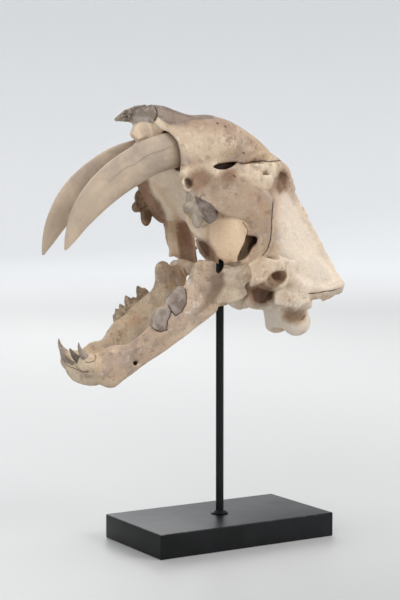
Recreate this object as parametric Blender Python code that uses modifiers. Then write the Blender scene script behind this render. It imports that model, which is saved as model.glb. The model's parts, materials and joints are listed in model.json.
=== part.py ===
"""Skull of a sabre-toothed cat, jaw open, on a rod over a flat black base.

Units are millimetres in the tables and metres in the scene. +Z is up.
The origin is the centre of the base's underside. The skull faces -X and
its left side faces -Y. Bone shapes are laid out in two local frames, one
for the cranium and one for the jaw: x runs backwards along the tooth row,
y to the right and z away from the palate or up from the tooth row.
"""
import math

import bmesh
import bpy
from mathutils import Matrix, Vector

MM = 0.001

# Stand
BASE_SIZE = (204.0, 114.0, 24.5)
BASE_EDGE = 1.2
ROD_RADIUS = 4.0
COLLAR_RADIUS = 8.8
COLLAR_HEIGHT = 3.2
TOUCH_GAP = 0.3

# Local frames: origin, and the turn about Y that tips the nose up
CRANIUM_ORIGIN = (-62.0, 0.0, 379.7)
CRANIUM_PITCH = 54.0
JAW_ORIGIN = (-4.8, 0.0, 270.5)
JAW_PITCH = -28.0

# The rod's top in the basicranium, and the depth of its blind hole
ROD_TOP_Z = 322.0
ROD_HOLE_TOP_Z = 326.0

# Meshing of the two bones
VOXEL = 2.4
CRANIUM_FACES = 4500
JAW_FACES = 1700
SOCKET_GAP = 0.45

# Half outlines of the cranium's core, from the palate round to the roof.
# Each entry is a station along x and its points (y, z).
CORE = (
    (-73.0, ((0, -17), (4, -17), (6, -14), (5, -11), (2, -9), (0, -9))),
    (-66.0, ((0, -12), (11, -12), (16, -3), (15, 5), (8, 9), (0, 10))),
    (-55.0, ((0, -8), (19, -8), (27, 4), (25, 17), (13, 23), (0, 25))),
    (-41.0, ((0, -8), (22, -9), (36, 4), (33, 21), (18, 32), (0, 35))),
    (-28.0, ((0, -8), (26, -8), (43, 8), (38, 31), (22, 43), (0, 47))),
    (-14.0, ((0, -7), (32, -7), (47, 12), (42, 44), (26, 60), (0, 66))),
    (4.0, ((0, -5), (38, -7), (48, 12), (44, 55), (29, 74), (0, 81))),
    (26.0, ((0, -3), (42, -8), (47, 10), (38, 60), (34, 82), (0, 91))),
    (50.0, ((0, -2), (36, -6), (34, 16), (32, 60), (36, 87), (0, 97))),
    (75.0, ((0, 4), (22, -4), (26, 20), (28, 60), (31, 88), (0, 102))),
    (100.0, ((0, 4), (20, 0), (31, 22), (35, 50), (26, 78), (0, 100))),
    (130.0, ((0, 1), (28, -2), (42, 22), (43, 50), (27, 76), (0, 96))),
    (160.0, ((0, 2), (34, 0), (48, 24), (46, 50), (28, 74), (0, 92))),
    (188.0, ((0, 10), (28, 10), (42, 30), (45, 50), (34, 74), (0, 90))),
    (205.0, ((0, 20), (22, 24), (34, 46), (38, 62), (28, 80), (0, 92))),
    (216.0, ((0, 38), (12, 44), (20, 60), (26, 76), (19, 90), (0, 97))),
    (226.0, ((0, 70), (6, 73), (11, 80), (13, 88), (8, 95), (0, 99))),
)
CORE_POINTS = 22

# Balls: centre, radii and the turn about Y in degrees. Mirrored ones are
# given on the left side.
CRANIUM_BALLS = (
    ((7, -47, -7), (8, 6, 8), 0),
    ((38, -50, -13), (25, 8, 9), 0),
    ((124, -72, 5), (17, 16, 9), 10),
    ((140, -60, 6), (15, 16, 14), 0),
    ((142, -47, -12), (14, 12, 13), 0),
    ((145, -53, -27), (6, 6, 11), 0),
    ((138, -31, -12), (15, 11, 11), 0),
    ((172, -48, 16), (18, 10, 15), 0),
    ((176, -41, 6), (13, 12, 9), 0),
    ((212, -17, 18), (14, 13, 15), 20),
    ((54, -47, 79), (12, 12, 8), 0),
    ((168, -44, 38), (34, 9, 22), 0),
)
CRANIUM_MID_BALLS = (
    ((196, 0, 16), (20, 22, 9), 10),
    ((150, 0, 4), (34, 26, 9), 4),
)

# Ribbons: a smooth path of (x, y, z, half height) and the thickness as a
# share of the height.
CRANIUM_RIBBONS = (
    # canine root bulge
    (((-22, -33, 2, 20), (-12, -34, 22, 20), (2, -33, 44, 16), (18, -30, 60, 10)), 0.75),
    # cheek and zygomatic arch
    (((6, -43, 2, 14), (24, -52, 7, 21), (46, -64, 15, 27), (66, -78, 19, 24),
      (86, -87, 9, 17), (103, -85, -2, 14), (120, -77, 0, 11)), 0.34),
    # rim of the eye socket, up to the brow
    (((19, -51, 4, 10), (28, -59, 19, 11), (36, -65, 34, 11), (46, -65, 52, 10), (56, -55, 72, 8)), 0.5),
    # plate behind the eye socket
    (((44, -66, 22, 15), (54, -71, 38, 13), (58, -69, 52, 10)), 0.42),
    # wing of bone beside the inner nostrils
    (((44, -24, -10, 16), (66, -21, -6, 19), (88, -23, 0, 17), (112, -28, 4, 12)), 0.36),
    # ridge from the ear to the back crest
    (((132, -64, 14, 6), (156, -57, 22, 7), (180, -52, 36, 6), (196, -48, 54, 5),
      (208, -36, 76, 5), (218, -21, 91, 5), (226, -6, 98, 5)), 0.8),
)

# The crest along the roof: outline (x, z) and its half thickness
CREST = ((66, 96), (80, 102), (94, 105), (122, 103.5), (151, 105.5), (180, 104.5), (216, 102.5),
         (230, 101), (236, 97), (232, 90), (214, 72), (190, 80), (150, 84), (110, 84), (80, 88))
CREST_HALF = 3.0
TIP = (((-74, 3, -17, 4), (-66, 4, -12, 7), (-54, 4, -4, 9)), 0.8)

# Hollows
CRANIUM_HOLLOWS = (
    # eye socket
    ((30, -50, 48), (14, 10, 25), 30),
    # ear opening
    ((139, -78, 8), (9, 24, 8), 0),
    # hollow under the ear
    ((151, -66, -12), (10, 13, 9), 0),
    # socket for the jaw's roller
    ((117, -66, -17), (12, 25, 12), 0),
)
NASAL_PASSAGE = (
    # open nose, broken wide
    ((-53, 0, 21), (20, 15, 10), -50),
    ((-26, 0, 30), (34, 14, 13), -48),
    # passage to the inner nostrils
    ((98, 0, -5), (34, 14, 12), 0),
)

# Jaw, left half
JAW_RIBBONS = (
    # body
    (((-168, -17, -6, 12), (-150, -20, -13, 18), (-128, -26, -15, 13), (-106, -33, -13, 13),
      (-84, -38, -10, 13), (-62, -42, -5, 15), (-44, -45, -1, 16)), 0.46),
    # rising branch
    (((-60, -41, 2, 15), (-42, -42, 8, 20), (-24, -48, 4, 18), (-8, -57, 1, 13)), 0.26),
    # coronoid
    (((-50, -41, 4, 10), (-41, -39.5, 16, 11), (-33, -38.5, 25, 10), (-27.5, -38, 30, 6)), 0.42),
    # neck of the joint and its roller
    (((-18, -53, 2, 8), (-6, -60, 4, 8), (0, -62, 5, 7)), 0.7),
    # angle
    (((-30, -50, -8, 7), (-18, -55, -12, 5), (-9, -57, -13, 3)), 0.7),
)
JAW_ROLLER = (((0, -44, 4, 6.5), (0, -60, 5, 8), (0, -77, 6, 6)), 1.0)
CHIN = (((-184, 0, 2, 6), (-176, 0, -6, 13), (-166, 0, -13, 15), (-154, 0, -15, 13),
         (-142, 0, -15, 8)), 1.35)
JAW_BALLS = (
    ((-175, -18, 2), (10, 8, 10), 0),
    ((-160, -18, -22), (11, 7, 11), 0),
    ((-84, -38, -4), (27, 8, 8), -6),
)
JAW_HOLLOWS = (
    ((-40, -60, 2), (26, 13, 11), 20),
)

# Sabres: path of (x, y, z, half width) and thickness share
SABRE = (((0, -33, 34, 13), (-8, -33.5, 20, 16), (-18.5, -34, 0, 17.6), (-27.5, -32.5, -25, 17.6),
          (-31, -31, -49, 17.4), (-31.7, -29, -72, 16.6), (-29.3, -27, -94, 14.8),
          (-23, -24.5, -116, 11.2), (-14.5, -23, -134, 6.4), (-7.4, -22, -146.5, 1.2)), 0.56)
RIGHT_SABRE_SLIP = (3.5, 0.0, -5.5)

# Blade teeth: side outline (x, z), the y of the middle, half thickness
UPPER_BLADE = (((18.5, -12), (18.5, -20), (22, -27.5), (26, -28), (31, -35.5), (38, -30), (46, -33),
                (52, -29), (57, -31), (61, -24), (62, -12)), 51.0, 4.5)
UPPER_SMALL = (((3, -8), (4, -13), (11.5, -19), (16, -14), (16.5, -8)), 49.0, 3.6)
LOWER_BLADE = (((-87, -4), (-87, 12), (-84, 20), (-76, 15), (-66, 24), (-61, 18), (-60, 2),
                (-66, -4)), 40.0, 3.6)
LOWER_SMALL = (((-107, -6), (-107, 10), (-102, 16), (-98, 13), (-93, 17), (-89.5, 10), (-88.5, -6)),
               37.5, 3.4)
BLADE_TAPER = 0.35
UPPER_GUM = -16.0
SMALL_GUM = -11.0
LOWER_GUM = 3.0
SLOT_OPENING = 8.0

# Lower front teeth: paths of (x, y, z, radius)
LOWER_CANINE = ((-170, -19, -4, 4.5), (-173.5, -20, 6, 5.2), (-176, -21, 14, 4.2),
                (-176, -21.3, 21, 2.4), (-174.4, -21.4, 26, 0.5))
INCISORS = (
    ((-178, -11.5, 0, 2.6), (-181, -11.3, 8, 3.0), (-183.5, -10.8, 16, 2.4), (-183, -10.5, 23, 0.5)),
    ((-180, -5, 0, 2.4), (-184, -5, 7, 2.7), (-187, -4.6, 14, 2.1), (-187, -4.4, 20, 0.5)),
    ((-180, 3.5, 0, 2.4), (-184, 3.5, 7, 2.7), (-187, 3.8, 13, 2.1), (-187.5, 4, 18, 0.5)),
    ((-178, 11, 0, 2.6), (-181, 11, 8, 3.0), (-183.5, 11, 15, 2.4), (-183.5, 11, 21, 0.5)),
)


def clear_scene():
    for thing in list(bpy.data.objects):
        bpy.data.objects.remove(thing, do_unlink=True)


def collection(name):
    group = bpy.data.collections.new(name)
    bpy.context.scene.collection.children.link(group)
    return group


def material(name, colour, roughness, metallic=0.0):
    made = bpy.data.materials.new(name)
    made.use_nodes = True
    shader = made.node_tree.nodes["Principled BSDF"]
    shader.inputs["Base Color"].default_value = (*colour, 1.0)
    shader.inputs["Roughness"].default_value = roughness
    shader.inputs["Metallic"].default_value = metallic
    return made


def local_frame(origin, pitch):
    place = Matrix.Translation(Vector(origin) * MM)
    return place @ Matrix.Rotation(math.radians(pitch), 4, "Y")


def mirrored(point):
    return (point[0], -point[1], *point[2:])


def add_object(name, mesh, group):
    thing = bpy.data.objects.new(name, mesh)
    group.objects.link(thing)
    return thing


def ball(bm, centre, radii, turn):
    """Add an ellipsoid to the mesh."""
    size = Matrix.Diagonal((*[r * MM for r in radii], 1.0))
    spin = Matrix.Rotation(math.radians(turn), 4, "Y")
    place = Matrix.Translation(Vector(centre) * MM)
    bmesh.ops.create_uvsphere(bm, u_segments=24, v_segments=14, radius=1.0, matrix=place @ spin @ size)


def close_mesh(mesh, change):
    """Weld the caps of a swept mesh, move it and point its faces outwards."""
    bm = bmesh.new()
    bm.from_mesh(mesh)
    bmesh.ops.remove_doubles(bm, verts=bm.verts, dist=0.00001)
    bmesh.ops.transform(bm, matrix=change, verts=bm.verts)
    bmesh.ops.recalc_face_normals(bm, faces=bm.faces)
    if bm.calc_volume(signed=True) < 0:
        bmesh.ops.reverse_faces(bm, faces=bm.faces)
    bm.to_mesh(mesh)
    bm.free()


def curve_mesh(points, share, resolution=6, sides=16, grow=0.0, hanging=False):
    """Sweep an ellipse along a smooth path.

    The ellipse stands upright in the local frame, or with hanging, for a
    path that runs up and down, its long side keeps to the xz plane.
    """
    profile = bpy.data.curves.new("profile", "CURVE")
    ring = profile.splines.new("POLY")
    ring.points.add(sides - 1)
    ring.use_cyclic_u = True
    for index, point in enumerate(ring.points):
        angle = 2 * math.pi * index / sides
        across = MM * math.cos(angle)
        along = MM * math.sin(angle)
        point.co = (across, share * along, 0, 1) if hanging else (share * across, along, 0, 1)
    outline = bpy.data.objects.new("profile", profile)
    bpy.context.scene.collection.objects.link(outline)
    path = bpy.data.curves.new("path", "CURVE")
    path.dimensions = "3D"
    path.twist_mode = "Z_UP"
    path.bevel_mode = "OBJECT"
    path.bevel_object = outline
    path.use_fill_caps = True
    spline = path.splines.new("BEZIER")
    spline.bezier_points.add(len(points) - 1)
    spline.resolution_u = resolution
    for knot, (x, y, z, half) in zip(spline.bezier_points, points):
        knot.co = Vector((x, z, y) if hanging else (x, y, z)) * MM
        knot.handle_left_type = "AUTO"
        knot.handle_right_type = "AUTO"
        knot.radius = half + grow
    sweep = bpy.data.objects.new("sweep", path)
    bpy.context.scene.collection.objects.link(sweep)
    mesh = bpy.data.meshes.new_from_object(sweep.evaluated_get(bpy.context.evaluated_depsgraph_get()))
    bpy.data.objects.remove(sweep, do_unlink=True)
    bpy.data.objects.remove(outline, do_unlink=True)
    swap = Matrix(((1, 0, 0, 0), (0, 0, 1, 0), (0, 1, 0, 0), (0, 0, 0, 1)))
    close_mesh(mesh, swap if hanging else Matrix.Identity(4))
    return mesh


def smooth_half(points, count):
    """Evenly spaced points on a smooth line through a half outline."""
    knots = [Vector(p) for p in points]
    ends = [Vector((-knots[1].x, knots[1].y)), *knots, Vector((-knots[-2].x, knots[-2].y))]
    dense = []
    for i in range(1, len(ends) - 2):
        a, b, c, d = ends[i - 1:i + 3]
        for step in range(12):
            t = step / 12
            dense.append(0.5 * (2 * b + (c - a) * t + (2 * a - 5 * b + 4 * c - d) * t * t
                                + (3 * b - a - 3 * c + d) * t ** 3))
    dense.append(knots[-1])
    spans = [0.0]
    for p, q in zip(dense, dense[1:]):
        spans.append(spans[-1] + (q - p).length)
    result = []
    for k in range(count):
        want = spans[-1] * k / (count - 1)
        j = max(1, next(i for i, s in enumerate(spans) if s >= want - 1e-9))
        part = (want - spans[j - 1]) / max(spans[j] - spans[j - 1], 1e-9)
        result.append(dense[j - 1].lerp(dense[j], part))
    return result


def loft(bm, stations, count):
    """Skin between half outlines of unlike shape, mirrored in y."""
    rings = []
    for x, outline in stations:
        half = smooth_half(outline, count)
        ring = [bm.verts.new(Vector((x, p.x, p.y)) * MM) for p in half]
        ring += [bm.verts.new(Vector((x, -p.x, p.y)) * MM) for p in reversed(half[1:-1])]
        rings.append(ring)
    for ring, following in zip(rings, rings[1:]):
        for i in range(len(ring)):
            j = (i + 1) % len(ring)
            bm.faces.new((ring[i], ring[j], following[j], following[i]))
    bm.faces.new(reversed(rings[0]))
    bm.faces.new(rings[-1])


def plate_mesh(outline, y, half):
    """Extrude a side outline to both sides of a plane of constant y."""
    curve = bpy.data.curves.new("plate", "CURVE")
    curve.dimensions = "2D"
    curve.fill_mode = "BOTH"
    curve.extrude = half * MM
    spline = curve.splines.new("POLY")
    spline.points.add(len(outline) - 1)
    spline.use_cyclic_u = True
    for point, (x, z) in zip(spline.points, outline):
        point.co = (x * MM, z * MM, 0, 1)
    thing = bpy.data.objects.new("plate", curve)
    bpy.context.scene.collection.objects.link(thing)
    mesh = bpy.data.meshes.new_from_object(thing.evaluated_get(bpy.context.evaluated_depsgraph_get()))
    bpy.data.objects.remove(thing, do_unlink=True)
    close_mesh(mesh, Matrix.Translation((0, y * MM, 0)) @ Matrix.Rotation(math.pi / 2, 4, "X"))
    return mesh


def blade_mesh(outline, y, half, gum):
    """A cutting tooth: an outline that thins from the gum to its edge."""
    mesh = plate_mesh(outline, y, half)
    tip = max((z for x, z in outline), key=lambda z: abs(z - gum))
    for vert in mesh.vertices:
        depth = (vert.co.z / MM - gum) / (tip - gum)
        share = 1 - (1 - BLADE_TAPER) * min(max(depth, 0.0), 1.0)
        vert.co.y = (y + (vert.co.y / MM - y) * share) * MM
    return mesh


def slot_mesh(outline, y, half, gum):
    """The slot that a cutting tooth stands in, open towards its edge."""
    left = min(x for x, z in outline) - SOCKET_GAP
    right = max(x for x, z in outline) + SOCKET_GAP
    low = min(z for x, z in outline) - SOCKET_GAP
    high = max(z for x, z in outline) + SOCKET_GAP
    if abs(low - gum) > abs(high - gum):
        low -= SLOT_OPENING
    else:
        high += SLOT_OPENING
    box = ((left, low), (right, low), (right, high), (left, high))
    return plate_mesh(box, y, half + SOCKET_GAP)


def join_meshes(name, meshes, group):
    bm = bmesh.new()
    for mesh in meshes:
        bm.from_mesh(mesh)
    joined = bpy.data.meshes.new(name)
    bm.to_mesh(joined)
    bm.free()
    for mesh in meshes:
        bpy.data.meshes.remove(mesh)
    return add_object(name, joined, group)


def primitive_mesh(name, balls):
    bm = bmesh.new()
    for centre, radii, turn in balls:
        ball(bm, centre, radii, turn)
    mesh = bpy.data.meshes.new(name)
    bm.to_mesh(mesh)
    bm.free()
    return mesh


def both_sides(balls):
    return list(balls) + [(mirrored(c), r, t) for c, r, t in balls]


def sweeps(ribbons):
    meshes = []
    for points, share in ribbons:
        meshes.append(curve_mesh(points, share))
        meshes.append(curve_mesh([mirrored(p) for p in points], share))
    return meshes


def guide(thing):
    thing.hide_render = True
    thing.display_type = "WIRE"
    return thing


def shape_bone(thing, cutter, faces, smoothing):
    """Blend the joined forms into one skin, hollow it and thin its mesh."""
    skin = thing.modifiers.new("skin", "REMESH")
    skin.mode = "VOXEL"
    skin.voxel_size = VOXEL * MM
    hollow = thing.modifiers.new("hollow", "BOOLEAN")
    hollow.operation = "DIFFERENCE"
    hollow.solver = "EXACT"
    hollow.object = cutter
    again = thing.modifiers.new("skin again", "REMESH")
    again.mode = "VOXEL"
    again.voxel_size = VOXEL * MM
    soft = thing.modifiers.new("soft", "SMOOTH")
    soft.factor = 0.5
    soft.iterations = smoothing
    mesh = bpy.data.meshes.new_from_object(thing.evaluated_get(bpy.context.evaluated_depsgraph_get()))
    thing.modifiers.clear()
    keep_largest(mesh)
    thing.data = mesh
    count = sum(len(face.vertices) - 2 for face in mesh.polygons)
    thin = thing.modifiers.new("thin", "DECIMATE")
    thin.ratio = faces / count
    thin.use_collapse_triangulate = True


def keep_largest(mesh):
    """Delete every loose island but the largest."""
    bm = bmesh.new()
    bm.from_mesh(mesh)
    left = set(bm.verts)
    islands = []
    while left:
        stack = [left.pop()]
        island = set(stack)
        while stack:
            for edge in stack.pop().link_edges:
                for vert in edge.verts:
                    if vert not in island:
                        island.add(vert)
                        left.discard(vert)
                        stack.append(vert)
        islands.append(island)
    islands.sort(key=len)
    for island in islands[:-1]:
        bmesh.ops.delete(bm, geom=list(island), context="VERTS")
    bm.to_mesh(mesh)
    bm.free()


def cut(thing, cutter):
    difference = thing.modifiers.new("socket", "BOOLEAN")
    difference.operation = "DIFFERENCE"
    difference.solver = "EXACT"
    difference.object = cutter


def place(thing, frame):
    thing.matrix_world = frame


def make_cranium(group, guides, frame, bone):
    bm = bmesh.new()
    loft(bm, CORE, CORE_POINTS)
    core = bpy.data.meshes.new("core")
    bmesh.ops.recalc_face_normals(bm, faces=bm.faces)
    bm.to_mesh(core)
    bm.free()
    forms = [core, primitive_mesh("balls", both_sides(CRANIUM_BALLS) + list(CRANIUM_MID_BALLS))]
    forms += sweeps(CRANIUM_RIBBONS)
    forms.append(curve_mesh(*TIP))
    forms.append(plate_mesh(CREST, 0.0, CREST_HALF))
    cranium = join_meshes("cranium", forms, group)
    hollows = primitive_mesh("hollows", both_sides(CRANIUM_HOLLOWS) + list(NASAL_PASSAGE))
    cutter = guide(join_meshes("cranium_hollows", [hollows], guides))
    union = cutter.modifiers.new("one", "REMESH")
    union.mode = "VOXEL"
    union.voxel_size = VOXEL * MM
    bpy.context.view_layer.update()
    shape_bone(cranium, cutter, CRANIUM_FACES, 5)
    cranium.data.materials.append(bone)
    place(cranium, frame)
    place(cutter, frame)
    return cranium


def make_mandible(group, guides, frame, bone):
    forms = [primitive_mesh("balls", both_sides(JAW_BALLS))]
    forms += sweeps(JAW_RIBBONS)
    forms += sweeps([JAW_ROLLER])
    forms.append(curve_mesh(*CHIN))
    jaw = join_meshes("mandible", forms, group)
    hollows = primitive_mesh("hollows", both_sides(JAW_HOLLOWS))
    cutter = guide(join_meshes("mandible_hollows", [hollows], guides))
    bpy.context.view_layer.update()
    shape_bone(jaw, cutter, JAW_FACES, 4)
    jaw.data.materials.append(bone)
    place(jaw, frame)
    place(cutter, frame)
    return jaw


def add_tooth(name, mesh, socket, owner, group, guides, frame, enamel):
    tooth = add_object(name, mesh, group)
    tooth.data.materials.append(enamel)
    place(tooth, frame)
    cutter = guide(add_object(name + "_socket", socket, guides))
    place(cutter, frame)
    cut(owner, cutter)
    return tooth


def make_upper_teeth(cranium, group, guides, frame, enamel):
    for side, flip in (("left", 1), ("right", -1)):
        points, share = SABRE
        slip = RIGHT_SABRE_SLIP if flip < 0 else (0, 0, 0)
        path = [(x + slip[0], y * flip, z + slip[2], r) for x, y, z, r in points]
        mesh = curve_mesh(path, share, resolution=1, sides=14, hanging=True)
        hole = curve_mesh([*path[:4]], share, resolution=1, sides=14, grow=1.2, hanging=True)
        add_tooth(f"upper_canine_{side}", mesh, hole, cranium, group, guides, frame, enamel)
        outline, y, half = UPPER_BLADE
        mesh = blade_mesh(outline, -y * flip, half, UPPER_GUM)
        hole = slot_mesh(outline, -y * flip, half, UPPER_GUM)
        add_tooth(f"upper_carnassial_{side}", mesh, hole, cranium, group, guides, frame, enamel)
    outline, y, half = UPPER_SMALL
    mesh = blade_mesh(outline, y, half, SMALL_GUM)
    hole = slot_mesh(outline, y, half, SMALL_GUM)
    add_tooth("upper_premolar_right", mesh, hole, cranium, group, guides, frame, enamel)


def make_lower_teeth(jaw, group, guides, frame, enamel):
    for side, flip in (("left", -1), ("right", 1)):
        for word, shape in (("carnassial", LOWER_BLADE), ("premolar", LOWER_SMALL)):
            outline, y, half = shape
            mesh = blade_mesh(outline, y * flip, half, LOWER_GUM)
            hole = slot_mesh(outline, y * flip, half, LOWER_GUM)
            add_tooth(f"lower_{word}_{side}", mesh, hole, jaw, group, guides, frame, enamel)
        path = [(x, -y * flip, z, r) for x, y, z, r in LOWER_CANINE]
        mesh = curve_mesh(path, 0.85, resolution=1, sides=10, hanging=True)
        hole = curve_mesh(path, 0.85, resolution=1, sides=10, grow=SOCKET_GAP, hanging=True)
        add_tooth(f"lower_canine_{side}", mesh, hole, jaw, group, guides, frame, enamel)
    for index, path in enumerate(INCISORS, 1):
        mesh = curve_mesh(path, 0.9, resolution=1, sides=8, hanging=True)
        hole = curve_mesh(path, 0.9, resolution=1, sides=8, grow=SOCKET_GAP, hanging=True)
        add_tooth(f"lower_incisor_{index}", mesh, hole, jaw, group, guides, frame, enamel)


def make_stand(group, guides, cranium, black):
    bm = bmesh.new()
    size = Matrix.Diagonal((*[s * MM for s in BASE_SIZE], 1.0))
    middle = Matrix.Translation((0, 0, BASE_SIZE[2] / 2 * MM))
    bmesh.ops.create_cube(bm, size=1.0, matrix=middle @ size)
    mesh = bpy.data.meshes.new("stand_base")
    bm.to_mesh(mesh)
    bm.free()
    base = add_object("stand_base", mesh, group)
    edge = base.modifiers.new("edge", "BEVEL")
    edge.width = BASE_EDGE * MM
    edge.segments = 2
    base.data.materials.append(black)

    rod_foot = BASE_SIZE[2] + TOUCH_GAP
    rod = add_object("stand_rod", cylinder_mesh(ROD_RADIUS, rod_foot, ROD_TOP_Z, 24), group)
    rod.data.materials.append(black)
    hole = cylinder_mesh(ROD_RADIUS + TOUCH_GAP, 250.0, ROD_HOLE_TOP_Z, 24)
    cut(cranium, guide(add_object("rod_hole", hole, guides)))

    collar = add_object("rod_collar", collar_mesh(), group)
    turned = collar.modifiers.new("turned", "SCREW")
    turned.steps = 20
    turned.render_steps = 20
    turned.use_merge_vertices = True
    turned.merge_threshold = 0.00001
    collar.data.materials.append(black)


def cylinder_mesh(radius, low, high, sides):
    bm = bmesh.new()
    middle = Matrix.Translation((0, 0, (low + high) / 2 * MM))
    bmesh.ops.create_cone(bm, cap_ends=True, segments=sides, radius1=radius * MM, radius2=radius * MM,
                          depth=(high - low) * MM, matrix=middle)
    mesh = bpy.data.meshes.new("round")
    bm.to_mesh(mesh)
    bm.free()
    return mesh


def collar_mesh():
    """Profile of the collar: a low cone round the rod's foot."""
    foot = BASE_SIZE[2] + TOUCH_GAP
    bore = ROD_RADIUS + TOUCH_GAP
    shoulder = COLLAR_RADIUS - 1.2
    profile = ((bore, foot + COLLAR_HEIGHT), (bore + 1.4, foot + COLLAR_HEIGHT),
               (shoulder, foot + COLLAR_HEIGHT / 2), (COLLAR_RADIUS, foot + 0.8),
               (COLLAR_RADIUS, foot), (bore, foot))
    bm = bmesh.new()
    verts = [bm.verts.new((x * MM, 0, z * MM)) for x, z in profile]
    for a, b in zip(verts, verts[1:] + verts[:1]):
        bm.edges.new((a, b))
    mesh = bpy.data.meshes.new("rod_collar")
    bm.to_mesh(mesh)
    bm.free()
    return mesh


def main():
    clear_scene()
    group = collection("smilodon_skull")
    guides = collection("cutters")
    bone = material("bone", (0.72, 0.58, 0.45), 0.7)
    enamel = material("tooth", (0.66, 0.56, 0.45), 0.5)
    black = material("stand_black", (0.022, 0.023, 0.025), 0.38)
    skull_frame = local_frame(CRANIUM_ORIGIN, CRANIUM_PITCH)
    jaw_frame = local_frame(JAW_ORIGIN, JAW_PITCH)
    cranium = make_cranium(group, guides, skull_frame, bone)
    jaw = make_mandible(group, guides, jaw_frame, bone)
    make_upper_teeth(cranium, group, guides, skull_frame, enamel)
    make_lower_teeth(jaw, group, guides, jaw_frame, enamel)
    make_stand(group, guides, cranium, black)


main()
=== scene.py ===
"""Finish of a sabre-toothed cat's skull with open jaw, on a rod over a black base.

Shapes are laid out in millimetres in two local frames, one for the cranium
and one for the jaw: x runs backwards along the tooth row, y to the animal's
right and z away from the palate or up from the tooth row. The bones are
surfaces of summed distance fields, so that forms flow into each other as
bone does. Marks that the photograph places are outlines in its pixels,
laid on the bone that lies there.
"""
import json
import math

import bmesh
import bpy
import numpy as np
from mathutils import Matrix, Vector

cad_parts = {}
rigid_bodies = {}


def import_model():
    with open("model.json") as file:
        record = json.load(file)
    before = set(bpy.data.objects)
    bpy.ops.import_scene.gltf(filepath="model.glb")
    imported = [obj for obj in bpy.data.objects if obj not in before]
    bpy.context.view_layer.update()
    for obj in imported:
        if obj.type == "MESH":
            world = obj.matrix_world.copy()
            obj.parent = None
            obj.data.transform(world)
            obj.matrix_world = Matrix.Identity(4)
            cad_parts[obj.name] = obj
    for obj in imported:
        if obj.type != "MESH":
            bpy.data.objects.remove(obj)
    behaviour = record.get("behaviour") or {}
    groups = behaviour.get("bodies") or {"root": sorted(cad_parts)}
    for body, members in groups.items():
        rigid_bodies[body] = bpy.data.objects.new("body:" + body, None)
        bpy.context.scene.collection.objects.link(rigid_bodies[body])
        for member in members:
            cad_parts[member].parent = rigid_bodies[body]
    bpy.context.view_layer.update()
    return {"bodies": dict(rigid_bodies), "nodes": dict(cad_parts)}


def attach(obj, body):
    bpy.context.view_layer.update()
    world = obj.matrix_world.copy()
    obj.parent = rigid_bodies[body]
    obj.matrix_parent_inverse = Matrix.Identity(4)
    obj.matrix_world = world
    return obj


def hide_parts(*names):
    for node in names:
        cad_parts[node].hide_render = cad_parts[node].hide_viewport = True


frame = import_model()

MM = 0.001
FAR = 60.0

# Camera, fitted to the corners of the base; the photograph is 400 x 600
IMAGE_SIZE = (400, 600)
CAMERA_PLACE = np.array((-0.82948, -1.33411, 0.36107))
CAMERA_AZIMUTH = -31.135
CAMERA_ELEVATION = 4.266
LENS = 93.0
SENSOR = 36.0

# Local frames: origin, and the turn about Y that tips the nose up
CRANIUM_ORIGIN = (-62.0, 0.0, 379.7)
CRANIUM_PITCH = 54.0
JAW_ORIGIN = (-4.8, 0.0, 270.5)
JAW_PITCH = -28.0

# Room, in metres
FLOOR_RADIUS = 2.4
BEND_RADIUS = 2.2
WALL_TOP = 4.5
LIGHTS = (
    ("key light", (1.3, -1.7, 1.7), 1.2, 26.5, (1.0, 0.985, 0.96)),
    ("fill light", (-2.0, -1.4, 1.3), 1.6, 13.0, (0.99, 0.99, 1.0)),
    ("back light", (0.4, 2.2, 1.6), 2.2, 30.0, (1.0, 1.0, 1.0)),
    ("top light", (0.0, 0.0, 2.9), 1.8, 14.0, (1.0, 1.0, 1.0)),
)
LIGHT_AIM = Vector((0, 0, 0.22))

# Grid steps, and half the cranium's width in steps
CRANIUM_STEP = 1.58
CRANIUM_HALF_STEPS = 63
JAW_STEP = 1.3
TOOTH_STEP = 0.7

# Stand
BASE_SIZE = (204.0, 114.0, 24.5)
BASE_EDGE = 1.2
ROD_RADIUS = 4.0
ROD_TOP = 322.0
COLLAR_RADIUS = 8.8
COLLAR_HEIGHT = 3.2
TOUCH_GAP = 0.3
CHAMFER = 0.3
FOOT = BASE_SIZE[2] + TOUCH_GAP

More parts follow.
